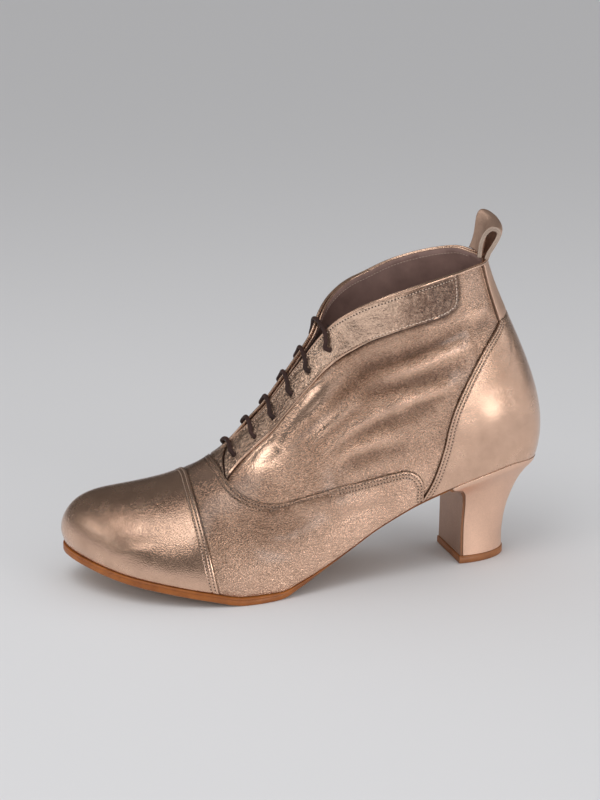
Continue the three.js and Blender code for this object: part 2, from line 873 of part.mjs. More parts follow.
// Hidden end, beside the inner row from the top eyelet down
const RETURN_STEPS = 8;
for (let i = 0; i <= RETURN_STEPS; i++) {
  const row = lastEyelet * (1 - i / RETURN_STEPS);
  const low = EYELETS[Math.floor(row)];
  const high = EYELETS[Math.ceil(row)];
  const between = row - Math.floor(row);
  const station = low[0] + (high[0] - low[0]) * between;
  const inset = low[1] + (high[1] - low[1]) * between;
  const round = -station / LAST_STATION;
  const distance = inset * EYELET_INSET + LACE_RETURN;
  laceLine.push(place(round, belowTop(round, distance), laceLow - CLEAR));
}
let side = INNER;
let before = final(laceLine).clone();
for (let i = 0; i <= lastEyelet; i++) {
  const here = eyeletPoint(side, i, 0);
  const across = eyeletPoint(1 - side, i, 0);
  const bar = across.clone().sub(here);
  throughEyelet(eyeletPlaces[side][i], bar, before.clone().sub(here), true);
  const half = (EYELETS[i][1] * EYELET_INSET) / 2;
  for (const [at, distance] of [
    [side, half],
    [side, 0],
    [1 - side, 0],
    [1 - side, half],
  ]) {
    const { round } = eyeletPlaces[at][i];
    const up = distance ? belowTop(round, distance) : 1;
    laceLine.push(place(round, up, laceHigh));
  }
  const after =
    i < lastEyelet
      ? eyeletPoint(1 - side, i + 1, 0)
      : across.clone().multiplyScalar(2).sub(eyeletPoint(1 - side, i - 1, 0));
  throughEyelet(
    eyeletPlaces[1 - side][i],
    bar.clone().negate(),
    after.clone().sub(across),
    false,
  );
  if (i < lastEyelet) {
    const [a, b] = [eyeletPlaces[1 - side][i], eyeletPlaces[1 - side][i + 1]];
    laceLine.push(place((a.round + b.round) / 2, (a.up + b.up) / 2, laceLow));
  }
  before = across;
  side = 1 - side;
}

// A round cord along a line of points, square to the line at each.
function cord(line, radius, sides) {
  const rings = [];
  let across = new THREE.Vector3(0, 0, 1);
  line.forEach((point, i) => {
    const tangent = line[Math.min(i + 1, line.length - 1)]
      .clone()
      .sub(line[Math.max(i - 1, 0)])
      .normalize();
    across = across.clone().addScaledVector(tangent, -across.dot(tangent));
    across.normalize();
    const other = tangent.clone().cross(across);
    const ring = [];
    for (let j = 0; j < sides; j++) {
      const angle = (2 * Math.PI * j) / sides;
      ring.push(
        point
          .clone()
          .addScaledVector(across, radius * Math.cos(angle))
          .addScaledVector(other, radius * Math.sin(angle)),
      );
    }
    rings.push(ring);
  });
  return loft(rings);
}
const lace = cord(laceLine, LACE / 2, LACE_SIDES);

// Sole and insole

const soleEdge = steadyCurve(
  SOLE_EDGE_ROWS.map((row) => row[0]),
  SOLE_EDGE_ROWS.map((row) => row[1] * SOLE_EDGE),
);
function outlinePoint(round, out) {
  const normal = surfaceNormal(round, 0);
  return footPoint(round).addScaledVector(normal, out);
}
const breastTop = BREAST_TOP + CLEAR + BREAST_FLAP;
let heelRound = 0;
while (footPoint(heelRound).x < breastTop + CLEAR) heelRound += 1e-4;
const soleRounds = [
  heelRound,
  ...rounds.filter((round) => round > heelRound + 0.3 / HALF_STEPS),
];
const soleRings = soleRounds.map((round) => {
  const edge = soleEdge(round * LAST_STATION);
  const ring = [];
  const side = (way, out, height) => {
    const point = outlinePoint(way * round, edge - out);
    point.z = height(point.x);
    ring.push(point);
  };
  const top = (x) => footHeight(x) - CLEAR;
  const under = (x) => underside(x);
  side(1, SOLE_ROUND, top);
  side(1, 0, (x) => top(x) - SOLE_ROUND);
  side(1, 0, (x) => under(x) + SOLE_ROUND);
  side(1, SOLE_ROUND, under);
  side(-1, SOLE_ROUND, under);
  side(-1, 0, (x) => under(x) + SOLE_ROUND);
  side(-1, 0, (x) => top(x) - SOLE_ROUND);
  side(-1, SOLE_ROUND, top);
  return ring;
});
const outsole = loft(soleRings);

const insoleRounds = rounds.filter((round) => round >= 0);
const insole = loft(
  insoleRounds.map((round) =>
    [
      [1, INSOLE_THICKNESS],
      [1, 0],
      [-1, 0],
      [-1, INSOLE_THICKNESS],
    ].map(([way, height]) => {
      const turn = round === 0 ? 0 : way * round;
      const point = outlinePoint(turn, liningOut - CLEAR);
      point.z = footHeight(point.x) + height;
      return point;
    }),
  ),
);

// Heel

const heelColumn = (c, size) =>
  steadyCurve(
    HEEL_ROWS.map((row) => row[0]),
    HEEL_ROWS.map((row) => row[c] * size),
  );
const heelBack = heelColumn(1, TREAD_LENGTH);
const heelBreast = heelColumn(2, TREAD_LENGTH);
const heelHalf = heelColumn(3, TREAD_WIDTH);
const heelSeat = heelColumn(4, 1);
const heelFoot = TOP_LIFT + CLEAR;
const heelLevel = (level, x) =>
  heelFoot + level * (footHeight(x) - CLEAR - heelFoot);
let seatRound = 0;
while (footPoint(seatRound).x < BREAST_TOP) seatRound += 1e-4;

// One side's outline at a level, from the breast's corner (0) to the middle of the back (1).
function heelOutline(level, way, part, grow = 0, ahead = 0) {
  const back = heelBack(level) - grow;
  const breast = heelBreast(level) + grow + ahead;
  const half = heelHalf(level) + grow;
  const block = new THREE.CubicBezierCurve(
    new THREE.Vector2(breast, half),
    new THREE.Vector2(breast - HEEL_SIDE * (breast - back), half * 1.04),
    new THREE.Vector2(back, half * HEEL_BACK),
    new THREE.Vector2(back, 0),
  ).getPoint(part);
  const seat = footPoint(part === 1 ? 0 : way * seatRound * (1 - part));
  const turned = heelSeat(level);
  return new THREE.Vector2(
    block.x + turned * (seat.x - block.x),
    way * block.y + turned * (seat.y - way * block.y),
  );
}
const HEEL_PARTS = 8;
function heelRing(level, height, grow = 0, ahead = 0) {
  const ring = [];
  for (const way of [1, -1]) {
    for (let i = 0; i <= HEEL_PARTS; i++) {
      const part = way > 0 ? i / HEEL_PARTS : 1 - i / HEEL_PARTS;
      const flat = heelOutline(level, way, part, grow, ahead);
      ring.push(new THREE.Vector3(flat.x, flat.y, height(flat.x)));
    }
  }
  return ring;
}
const HEEL_LEVELS = [0, 0.12, 0.3, 0.45, 0.6, 0.75, 0.87, 0.95, 1];
const heel = loft(
  HEEL_LEVELS.map((level) => heelRing(level, (x) => heelLevel(level, x))),
);
const liftRing = (height) =>
  heelRing(0, () => height, TOP_LIFT_EDGE, CLEAR + BREAST_FLAP);
const topLift = loft([liftRing(0), liftRing(TOP_LIFT)]);
const breastFlap = loft(
  HEEL_LEVELS.map((level) => {
    const corner = heelOutline(level, 1, 0);
    const other = heelOutline(level, -1, 0);
    return [
      [corner, CLEAR + BREAST_FLAP],
      [corner, CLEAR],
      [other, CLEAR],
      [other, CLEAR + BREAST_FLAP],
    ].map(([point, out]) => {
      const x = point.x + out;
      return new THREE.Vector3(x, point.y, heelLevel(level, x));
    });
  }),
);

const boot = new THREE.Group();
boot.name = "heeled_lace_up_boot";
boot.add(
  mesh("outsole", outsole, tanLeather),
  mesh("insole", insole, lining),
  mesh("heel", heel, metallicLeather),
  mesh("breast_flap", breastFlap, tanLeather),
  mesh("top_lift", topLift, tanLeather),
  mesh("upper", upper, metallicLeather),
  mesh("toe_cap", toeCap, metallicLeather),
  mesh("vamp", vamp, metallicLeather),
  mesh("outer_facing", outerFacing, metallicLeather),
  mesh("inner_facing", innerFacing, metallicLeather),
  mesh("counter", counter, metallicLeather),
  mesh("back_strap", strap, metallicLeather),
  mesh("pull_loop", pullLoop, metallicLeather),
  mesh("tongue", tongue, lining),
  mesh("lace", lace, darkCord),
);

export default boot;
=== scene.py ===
# Heeled lace-up ankle boot in rose-gold leather, left foot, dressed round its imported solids.
# Lengths in the sections are millimetres; meshes are stored in metres. +X toe, +Y outer side, +Z up.
import math

import bmesh
import bpy
import numpy as np
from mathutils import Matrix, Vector
from mathutils.geometry import delaunay_2d_cdt


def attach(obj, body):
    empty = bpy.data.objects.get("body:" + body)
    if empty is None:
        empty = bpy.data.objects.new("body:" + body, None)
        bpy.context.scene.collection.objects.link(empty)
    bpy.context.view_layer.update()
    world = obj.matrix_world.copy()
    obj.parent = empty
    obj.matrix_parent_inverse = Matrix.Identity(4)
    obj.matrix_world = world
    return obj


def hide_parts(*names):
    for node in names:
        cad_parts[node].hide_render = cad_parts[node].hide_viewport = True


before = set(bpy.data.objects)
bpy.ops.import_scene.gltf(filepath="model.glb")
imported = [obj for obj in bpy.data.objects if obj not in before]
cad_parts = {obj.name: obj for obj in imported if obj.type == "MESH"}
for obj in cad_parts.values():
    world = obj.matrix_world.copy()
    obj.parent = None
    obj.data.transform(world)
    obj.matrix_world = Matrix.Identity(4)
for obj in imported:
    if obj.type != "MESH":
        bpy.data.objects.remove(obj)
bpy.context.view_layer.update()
MM = 0.001

# Camera
# Eye level a little above the boot, turned a little towards the toe from the square side view.
VIEW_TURN = math.radians(14.793)
VIEW_TILT = math.radians(14.624)
VIEW_DISTANCE = 0.8
VIEW_TARGET = Vector((0.097339, 0.0, 0.090851))
view_back = Vector(
    (
        math.sin(VIEW_TURN) * math.cos(VIEW_TILT),
        math.cos(VIEW_TURN) * math.cos(VIEW_TILT),
        math.sin(VIEW_TILT),
    )
)
camera = bpy.data.objects.new("camera", bpy.data.cameras.new("camera"))
camera.data.lens = 70.2
camera.data.sensor_width = 36
camera.location = VIEW_TARGET + view_back * VIEW_DISTANCE
camera.rotation_euler = (-view_back).to_track_quat("-Z", "Y").to_euler()
bpy.context.collection.objects.link(camera)
bpy.context.scene.camera = camera

# The boot's form
# The last that the leather is pulled over, as sections from the heel's back (0) to the toe tip (19). A place
# on it is a station, negative on the inner side, and up, from 0 at the foot line to 1 at the collar or ridge.
FOOT_LENGTH = 252
SEAT_BACK = 34.25
BALL_WIDTH = 87
INSTEP_HEIGHT = 62
SHAFT_HEIGHT = 109
COLLAR_WIDTH = 60
HEEL_HEIGHT = 55
TOE_SPRING = 15.5
SOLE_THICKNESS = 4
WAIST_THICKNESS = 3
CLEAR = 0.3
STATION_COLUMNS = "at outer inner turn lift swell topAt shaft instep hoist open lean drop spread"
STATIONS = [
    [0.01, 0, 0, 90, 0.315, 0.195, 0.127, 0.989, 0, 0, 0, 0, 0.29, 0],
    [0.026, 0.149, -0.147, 58, 0.315, 0.15, 0.14, 0.986, 0, 0.028, 0.15, 0, 0.3, 0],
    [0.067, 0.239, -0.233, 28, 0.33, 0.11, 0.173, 0.995, 0, 0.048, 0.292, 0, 0.32, -0.01],
    [0.131, 0.299, -0.287, 10, 0.34, 0.08, 0.234, 1.015, 0, 0.039, 0.433, 0, 0.34, -0.02],
    [0.206, 0.326, -0.308, 3, 0.35, 0.06, 0.306, 1.037, 0, 0.024, 0.497, 0, 0.34, -0.03],
    [0.282, 0.341, -0.294, 0, 0.36, 0.045, 0.373, 0.957, 0.187, 0.011, 0.472, 0, 0.34, -0.02],
    [0.357, 0.354, -0.285, 0, 0.38, 0.035, 0.433, 0.807, 0.473, 0.012, 0.358, 0, 0.3, 0.01],
    [0.425, 0.374, -0.293, 0, 0.4, 0.025, 0.472, 0.625, 0.732, 0.02, 0.2, 0, 0.22, 0.08],
    [0.484, 0.408, -0.322, 0, 0.42, 0.02, 0.502, 0.434, 0.932, 0.024, 0.075, -0.006, 0.15, 0.14],
    [0.544, 0.451, -0.366, 0, 0.44, 0.02, 0.552, 0.259, 1.061, 0.018, 0.053, -0.011, 0.13, 0.17],
    [0.607, 0.492, -0.414, 0, 0.46, 0.02, 0.619, 0.108, 1.076, 0.011, 0.043, -0.023, 0.11, 0.22],
    [0.671, 0.514, -0.455, 0, 0.48, 0.03, 0.687, 0, 1.012, 0, 0, -0.04, 0.05, 0.32],
    [0.734, 0.506, -0.476, 0, 0.5, 0.035, 0.75, 0, 0.798, 0, 0, -0.063, 0, 0.37],
    [0.794, 0.467, -0.474, 0, 0.52, 0.035, 0.813, 0, 0.666, 0, 0, -0.086, 0, 0.38],
    [0.853, 0.394, -0.451, 0, 0.54, 0.035, 0.877, 0, 0.58, 0, 0, -0.109, 0, 0.38],
    [0.909, 0.285, -0.409, 0, 0.56, 0.03, 0.933, 0, 0.498, 0, 0, -0.132, 0, 0.38],
    [0.952, 0.152, -0.353, 0, 0.56, 0.03, 0.976, 0, 0.38, 0, 0, -0.149, 0, 0.38],
    [0.981, 0.025, -0.292, 0, 0.56, 0.03, 1, 0, 0.237, 0, 0, -0.163, 0, 0.38],
    [0.996, -0.08, -0.232, 0, 0.56, 0.03, 1.007, 0, 0.113, 0, 0, -0.17, 0, 0.38],
    [1, -0.172, -0.172, 0, 0.56, 0.03, 1, 0, 0, 0, 0, -0.172, 0, 0.38],
]
LEVEL_START = "at lift swell topAt shaft instep lean drop spread".split()
LEVEL_END = "at turn lift swell lean drop spread".split()
STEADY = ("open", "hoist")
LAST_STATION = len(STATIONS) - 1
UNDERSIDE = [
    [0, 1, 0],
    [0.075, 1, 0],
    [0.15, 0.935, 0],
    [0.23, 0.83, 0],
    [0.3, 0.712, 0],
    [0.35, 0.6, 0],
    [0.4, 0.475, 0],
    [0.455, 0.315, 0],
    [0.515, 0.163, 0],
    [0.565, 0.058, 0],
    [0.605, 0, 0],
    [0.677, 0, 0],
    [0.75, 0, 0.22],
    [0.82, 0, 0.43],
    [0.9, 0, 0.64],
    [1, 0, 1],
]
WAIST_END = 0.42
BALL_START = 0.56


def spline_slopes(y, level_start, level_end):
    """Slopes of a smooth curve through rows at whole stations, level or straight at its ends."""
    n = len(y)
    system = np.zeros((n, n))
    right = np.zeros(n)
    for i in range(1, n - 1):
        system[i, i - 1 : i + 2] = 1, 4, 1
        right[i] = 3 * (y[i + 1] - y[i - 1])
    system[0, :2] = (1, 0) if level_start else (2, 1)
    system[-1, -2:] = (0, 1) if level_end else (1, 2)
    right[0] = 0 if level_start else 3 * (y[1] - y[0])
    right[-1] = 0 if level_end else 3 * (y[-1] - y[-2])
    return np.linalg.solve(system, right)


def steady_slopes(x, y):
    """Slopes that never overshoot, for rows at any spacing."""
    step, rise = np.diff(x), np.diff(y) / np.diff(x)
    slopes = np.zeros(len(y))
    for i in range(1, len(y) - 1):
        if rise[i - 1] * rise[i] > 0:
            a, b = 2 * step[i] + step[i - 1], step[i] + 2 * step[i - 1]
            slopes[i] = (a + b) / (a / rise[i - 1] + b / rise[i])
    slopes[0], slopes[-1] = rise[0], rise[-1]
    return slopes


def curve_between(t, step, start, end, leaving, arriving):
    """A share t of the way from start to end, a step apart, on a curve with these slopes at the two."""
    return (
        (1 + 2 * t) * (1 - t) ** 2 * start
        + t * (1 - t) ** 2 * step * leaving
        + t * t * (3 - 2 * t) * end
        + t * t * (t - 1) * step * arriving
    )


def interpolate(x, y, slopes, at):
    q = np.clip(at, x[0], x[-1])
    i = np.clip(np.searchsorted(x, q, side="right") - 1, 0, len(x) - 2)
    step = x[i + 1] - x[i]
    return curve_between((q - x[i]) / step, step, y[i], y[i + 1], slopes[i], slopes[i + 1])


def steady_curve(x, y):
    x, y = np.array(x, float), np.array(y, float)
    slopes = steady_slopes(x, y)
    return lambda at: interpolate(x, y, slopes, at)


def smooth_share(value, start, end):
    t = np.clip((value - start) / (end - start), 0, 1)
    return t * t * (3 - 2 * t)


def along(part):
    return part * FOOT_LENGTH - SEAT_BACK


underside = steady_curve(
    [along(row[0]) for row in UNDERSIDE],
    [row[1] * (HEEL_HEIGHT - WAIST_THICKNESS - CLEAR) + row[2] * TOE_SPRING for row in UNDERSIDE],
)


def foot_height(x):
    extra = SOLE_THICKNESS - WAIST_THICKNESS
    thickness = WAIST_THICKNESS + extra * smooth_share(x, along(WAIST_END), along(BALL_START))
    return underside(x) + thickness + CLEAR


station_numbers = np.arange(LAST_STATION + 1, dtype=float)
column_rows = {}
for number, column_name in enumerate(STATION_COLUMNS.split()):
    values = np.array([row[number] for row in STATIONS], float)
    if column_name in STEADY:
        column_slopes = steady_slopes(station_numbers, values)
    else:
        column_slopes = spline_slopes(values, column_name in LEVEL_START, column_name in LEVEL_END)
    column_rows[column_name] = (values, column_slopes)


def column(name, station):
    values, slopes = column_rows[name]
    return interpolate(station_numbers, values, slopes, station)


def dot(a, b):
    return (a * b).sum(-1)


def unit(vectors):
    return vectors / np.maximum(np.linalg.norm(vectors, axis=-1, keepdims=True), 1e-12)


def foot_point(station):
    s = np.abs(station)
    x = along(column("at", s))
    y = np.where(station > 0, column("outer", s), column("inner", s)) * BALL_WIDTH
    return np.stack([x, y, foot_height(x)], -1)


def top_point(station):
    side = np.where(station > 0, 1.0, -1.0)
    s = np.abs(station)
    x = along(column("topAt", s))
    y = column("lean", s) * BALL_WIDTH + side * column("open", s) * COLLAR_WIDTH
    hoist = np.where(side < 0, column("hoist", s), 0)
    z = foot_height(x) + (column("shaft", s) + hoist) * SHAFT_HEIGHT
    return np.stack([x, y, z + column("instep", s) * INSTEP_HEIGHT], -1)


def surface(station, up):
    """Points of the boot's outer surface."""
    station, up = np.broadcast_arrays(np.asarray(station, float), np.asarray(up, float))
    side = np.where(station > 0, 1.0, -1.0)
    s = np.abs(station)
    foot, top = foot_point(station), top_point(station)
    chord = np.linalg.norm(top - foot, axis=-1)
    rise = (top - foot) * (1, 0, 1)
    turn = np.radians(column("turn", s))
    outward = np.stack([-np.sin(turn), side * np.cos(turn), 0 * turn], -1)
    across = np.zeros_like(foot)
    across[..., 1] = side * column("spread", s) * chord
    low = foot + rise * column("lift", s)[..., None] + outward * (column("swell", s) * chord)[..., None]
    high = top - rise * column("drop", s)[..., None] + across
    t = up[..., None]
    return (1 - t) ** 3 * foot + 3 * t * (1 - t) ** 2 * low + 3 * t * t * (1 - t) * high + t**3 * top


def surface_normal(station, up):
    station, up = np.broadcast_arrays(np.asarray(station, float), np.asarray(up, float))
    bound = LAST_STATION - 0.02
    inside = np.clip(station, -bound, bound)
    after, before = surface(inside + 0.004, up), surface(inside - 0.004, up)
    above, below = surface(inside, up + 2e-4), surface(inside, up - 2e-4)
    normal = unit(np.cross(above - below, after - before))
    flat = unit(normal * (1, 1, 0))
    return np.where((up <= 0)[..., None], flat, normal)


def place(station, up, out):
    """Points a distance out of the surface; on the foot line they stay at the foot's height."""
    station, up = np.broadcast_arrays(np.asarray(station, float), np.asarray(up, float))
    out = np.broadcast_to(np.asarray(out, float), station.shape)
    points = surface(station, up) + surface_normal(station, up) * out[..., None]
    grounded = np.abs(station) >= LAST_STATION - 1e-6
    level = foot_height(points[..., 0])
    points[..., 2] = np.where((up <= 0) | grounded, level, points[..., 2])
    return points


def below_top(station, distance):
    """The share of the way up a section that lies a distance below its top."""
    ups = np.linspace(1, 0, 201)
    points = surface(np.full(201, float(station)), ups)
    lengths = np.concatenate([[0], np.cumsum(np.linalg.norm(np.diff(points, axis=0), axis=1))])
    return float(np.interp(distance, lengths, ups))


# Cutting the leather
# Panels are cut flat on two maps of the surface, in millimetres: one runs along the ridge over the toe and
# the throat, the other round the heel. Each panel is a closed sheet with rounded, darker edges.
MAP_STATIONS = np.linspace(0, LAST_STATION, 761)


def section_lengths(stations):
    ups = np.linspace(0, 1, 41)
    points = surface(stations[:, None] + 1e-9, ups[None, :])
    return np.linalg.norm(np.diff(points, axis=1), axis=-1).sum(1)


def running_length(points):
    steps = np.linalg.norm(np.diff(points, axis=0), axis=1)
    return np.concatenate([[0], np.cumsum(steps)])


SECTION_LENGTH = section_lengths(MAP_STATIONS)
RIDGE_LENGTH = running_length(top_point(MAP_STATIONS + 1e-9))
WAIST_LENGTH = running_length(surface(MAP_STATIONS + 1e-9, 0.45))


class RidgeMap:
    """Along the ridge or the throat's and collar's edge, and down from it, outer side positive."""

    @staticmethod
    def flat(station, up):
        s = np.abs(station)
        length = np.interp(s, MAP_STATIONS, SECTION_LENGTH)
        across = np.where(np.asarray(station) > 0, 1.0, -1.0) * (1 - np.asarray(up))
        return np.stack([np.interp(s, MAP_STATIONS, RIDGE_LENGTH), across * length], -1)

    @staticmethod
    def spot(flat):
        s = np.interp(flat[..., 0], RIDGE_LENGTH, MAP_STATIONS)
        length = np.maximum(np.interp(s, MAP_STATIONS, SECTION_LENGTH), 1e-6)
        across = np.clip(flat[..., 1] / length, -1, 1)
        return np.where(across >= 0, s, -s), 1 - np.abs(across)


class HeelMap:
    """Round the heel, outer side positive, and up from the foot line."""

    @staticmethod
    def flat(station, up):
        station = np.asarray(station, float)
        s = np.abs(station)
        round_way = np.sign(station) * np.interp(s, MAP_STATIONS, WAIST_LENGTH)
        return np.stack([round_way, np.asarray(up) * np.interp(s, MAP_STATIONS, SECTION_LENGTH)], -1)

    @staticmethod
    def spot(flat):
        s = np.interp(np.abs(flat[..., 0]), WAIST_LENGTH, MAP_STATIONS)
        length = np.interp(s, MAP_STATIONS, SECTION_LENGTH)
        return np.sign(flat[..., 0]) * s, np.clip(flat[..., 1] / length, 0, 1)


STEPS_BETWEEN = 24


def evenly(line, spacing):
    """The same line as points at an even spacing."""
    lengths = running_length(line)
    at = np.linspace(0, lengths[-1], max(2, int(round(lengths[-1] / spacing)) + 1))
    return np.stack([np.interp(at, lengths, line[:, c]) for c in range(line.shape[1])], -1)


def smooth_line(points, spacing, soft=True):
    """A line through points at an even spacing, curved between them or straight."""
    points = np.asarray(points, float)
    if not soft or len(points) < 3:
        return evenly(points, spacing)
    knots = running_length(points)
    slopes = np.gradient(points, knots, axis=0)
    fine = np.linspace(0, knots[-1], STEPS_BETWEEN * len(points))
    i = np.clip(np.searchsorted(knots, fine, side="right") - 1, 0, len(knots) - 2)
    step = (knots[i + 1] - knots[i])[:, None]
    t = (fine - knots[i])[:, None] / step
    line = curve_between(t, step, points[i], points[i + 1], slopes[i], slopes[i + 1])
    return evenly(line, spacing)


def nearest(points, line):
    """Each point's distance to a line of points, and the length along it there."""
    start, step = line[:-1], np.diff(line, axis=0)
    square = np.maximum(dot(step, step), 1e-12)
    lengths = running_length(line)
    best = np.full(len(points), 1e9)
    where = np.zeros(len(points))
    for first in range(0, len(points), 4000):
        block = points[first : first + 4000]
        part = np.clip(((block[:, None] - start[None]) * step[None]).sum(-1) / square, 0, 1)
        foot = start[None] + part[..., None] * step[None]
        distance = np.linalg.norm(block[:, None] - foot, axis=-1)
        pick = distance.argmin(1)
        rows = np.arange(len(block))
        best[first : first + 4000] = distance[rows, pick]
        where[first : first + 4000] = lengths[pick] + part[rows, pick] * np.sqrt(square[pick])
    return best, where


def inside_polygon(points, polygon):
    x, y = points[:, 0], points[:, 1]
    inside = np.zeros(len(points), bool)
    x0, y0 = polygon[-1]
    for x1, y1 in polygon:
        crosses = (y1 > y) != (y0 > y)
        with np.errstate(divide="ignore", invalid="ignore"):
            inside ^= crosses & (x < (x0 - x1) * (y - y1) / (y0 - y1) + x1)
        x0, y0 = x1, y1
    return inside


def set_tone(mesh, tone):
    """How the finish lies on each point: -1 dark at an edge from dye and painted shade, 0 pebbled, 1 pulled
    smooth and light; painted highlights raise it and painted shade lowers it.
    """
    attribute = mesh.attributes.new("tone", "FLOAT", "POINT")
    attribute.data.foreach_set("value", np.broadcast_to(tone, len(mesh.vertices)).astype(np.float32))


def mesh_object(name, points, faces, material):
    mesh = bpy.data.meshes.new(name)
    mesh.from_pydata((np.asarray(points) * MM).tolist(), [], [list(map(int, face)) for face in faces])
    mesh.polygons.foreach_set("use_smooth", [True] * len(mesh.polygons))
    mesh.materials.append(material)
    mesh.update()
    result = bpy.data.objects.new(name, mesh)
    bpy.context.collection.objects.link(result)
    return result


MAP_STEP = 0.05
BUNCHED = 0.85


def beside(flat_map, line, distance):
    """A line on a map moved sideways over the surface, without the points that bunch in a bend."""
    on_surface = flat_map.spot(line)
    middle = surface(*on_surface)
    ahead = surface(*flat_map.spot(line + (MAP_STEP, 0))) - middle
    above = surface(*flat_map.spot(line + (0, MAP_STEP))) - middle
    way = unit(np.cross(surface_normal(*on_surface), np.gradient(middle, axis=0)))
    a, b, c = dot(ahead, ahead), dot(ahead, above), dot(above, above)
    p, q = dot(way, ahead), dot(way, above)
    det = np.maximum(a * c - b * b, 1e-12)
    shift = np.stack([(c * p - b * q) / det, (a * q - b * p) / det], -1) * MAP_STEP
    moved = line + shift * distance
    away = np.linalg.norm(moved[:, None] - line[None, ::2], axis=-1).min(1)
    return moved[away > BUNCHED * abs(distance)]


TRIANGLE_RISE = 0.866
ROOM_AT_EDGE = 0.3
ROOM_AT_HOLE = 0.35
HOLE_SIDES = 12


def points_inside(flat_map, outline, rows, grid):
    """The points that a sheet bends at: rows beside its seams, and an even grid of triangles elsewhere."""
    points = []
    for line, distances in rows:
        for distance in distances:
            for moved in (beside(flat_map, line, distance), beside(flat_map, line, -distance)):
                points.append(moved[inside_polygon(moved, outline)])
    low, high = outline.min(0), outline.max(0)
    across = np.arange(low[0], high[0], grid)
    upward = np.arange(low[1], high[1], grid * TRIANGLE_RISE)
    grid_x, grid_y = np.meshgrid(across, upward)
    grid_x = grid_x + (np.arange(len(upward)) % 2)[:, None] * grid / 2
    even = np.stack([grid_x.ravel(), grid_y.ravel()], -1)
    even = even[inside_polygon(even, outline)]
    closed = np.concatenate([outline, outline[:1]])
    even = even[nearest(even, closed)[0] > 0.6 * grid]
    for line, distances in rows:
        even = even[nearest(even, line)[0] > max(distances) + 0.5 * grid]
    points = np.concatenate([*points, even])
    return points[nearest(points, closed)[0] > ROOM_AT_EDGE]


def cut_triangles(outline, points, holes):
    """A flat sheet's points and triangles inside its outline, with its holes left open."""
    edges = [(i, (i + 1) % len(outline)) for i in range(len(outline))]
    rings = []
    for middle, radius in holes:
        turn = np.linspace(0, 2 * math.pi, HOLE_SIDES + 1)[:-1]
        first = len(outline) + HOLE_SIDES * len(rings)
        edges += [(first + i, first + (i + 1) % HOLE_SIDES) for i in range(HOLE_SIDES)]
        rings.append(middle + radius * np.stack([np.cos(turn), np.sin(turn)], -1))
        points = points[np.linalg.norm(points - middle, axis=1) > radius + ROOM_AT_HOLE]
    flat = np.concatenate([outline, *rings, points])
    result = delaunay_2d_cdt([Vector(p) for p in flat], edges, [list(range(len(outline)))], 1, 1e-5)
    flat = np.array([tuple(p) for p in result[0]])
    triangles = np.array([face for face in result[2] if len(face) == 3])
    middles = flat[triangles].mean(1)
    keep = np.ones(len(triangles), bool)
    for middle, radius in holes:
        keep &= np.linalg.norm(middles - middle, axis=1) > radius * 0.95
    triangles = triangles[keep]
    used = np.unique(triangles)
    renumber = np.full(len(flat), -1)
    renumber[used] = np.arange(len(used))
    return flat[used], renumber[triangles]


def cut_edges(triangles):
    """The loops of points along a sheet's cut edges."""
    sides = [triangles[:, [0, 1]], triangles[:, [1, 2]], triangles[:, [2, 0]]]
    seen = set(map(tuple, np.concatenate(sides)))
    following = {a: b for a, b in seen if (b, a) not in seen}
    left = set(following)
    loops = []
    while left:
        loop = [left.pop()]
        while following[loop[-1]] != loop[0] and following[loop[-1]] in left:
            loop.append(following[loop[-1]])
            left.discard(loop[-1])
        loops.append(np.array(loop))
    return loops


EDGE_ROUND = 0.35
# Tones for the rounded edge's lower rows and the hidden bottom: the cut edge's dye, and painted shade on the
# edge's wall.
EDGE_TONES = {60: 0.3, 90: -0.2}
HIDDEN_TONE = -0.7
THINNEST = 0.2


def cut_panel(
    name, flat_map, outline, rows, outer, inner, material, relief=None, tone=None, grid=1.5, holes=()
):
    """A closed sheet cut along an outline on a map, with points at the given distances beside each seam.

    Its faces lie at outer and inner, its relief raises or sinks the outer one, and its edges are rounded.
    """
    outline = np.asarray(outline)
    flat, triangles = cut_triangles(outline, points_inside(flat_map, outline, rows, grid), holes)
    station, up = flat_map.spot(flat)
    up = np.where(up < 1e-4, 0.0, up)
    base = surface(station, up)
    heights = np.zeros(len(flat)) if relief is None else relief(base, station, up, flat)
    top = place(station, up, outer + heights)
    bottom = place(station, up, np.minimum(inner, outer + heights - THINNEST))
    normals = surface_normal(station, up)
    first_side = top[triangles[:, 1]] - top[triangles[:, 0]]
    last_side = top[triangles[:, 2]] - top[triangles[:, 0]]
    if dot(np.cross(first_side, last_side), normals[triangles[:, 0]]).sum() < 0:
        triangles = triangles[:, ::-1]
    count = len(flat)
    points = [top, bottom]
    faces = [triangles, triangles[:, ::-1] + count]
    total = 2 * count
    tones = np.zeros(count) if tone is None else np.clip(tone(base, station, up, flat), -1, 1)
    tone_rows = [tones, np.full(count, HIDDEN_TONE)]
    radius = min(EDGE_ROUND, (outer - inner) * 0.45)
    for loop in cut_edges(triangles):
        tangent = unit(np.roll(top[loop], -1, 0) - np.roll(top[loop], 1, 0))
        outward = unit(np.cross(tangent, normals[loop]))
        before = loop
        for angle in (30, 60, 90):
            turn = math.radians(angle)
            row = top[loop] - outward * radius * (1 - math.sin(turn))
            points.append(row - normals[loop] * radius * (1 - math.cos(turn)))
            numbers = total + np.arange(len(loop))
            faces.append(np.stack([before, numbers, np.roll(numbers, -1), np.roll(before, -1)], -1))
            before = numbers
            total += len(loop)
            tone_rows.append(np.full(len(loop), EDGE_TONES[angle]) if angle in EDGE_TONES else tones[loop])
        numbers = loop + count
        faces.append(np.stack([before, numbers, np.roll(numbers, -1), np.roll(before, -1)], -1))
        top[loop] -= outward * radius
    piece = mesh_object(name, np.concatenate(points), [f for group in faces for f in group], material)
    set_tone(piece.data, np.concatenate(tone_rows))
    return piece


def seam(flat_map, rows, side=1, spacing=0.9):
    """A seam's line on a map, from rows of station and share of the way up."""
    rows = np.array(rows, float)
    return smooth_line(flat_map.flat(side * rows[:, 0], rows[:, 1]), spacing)


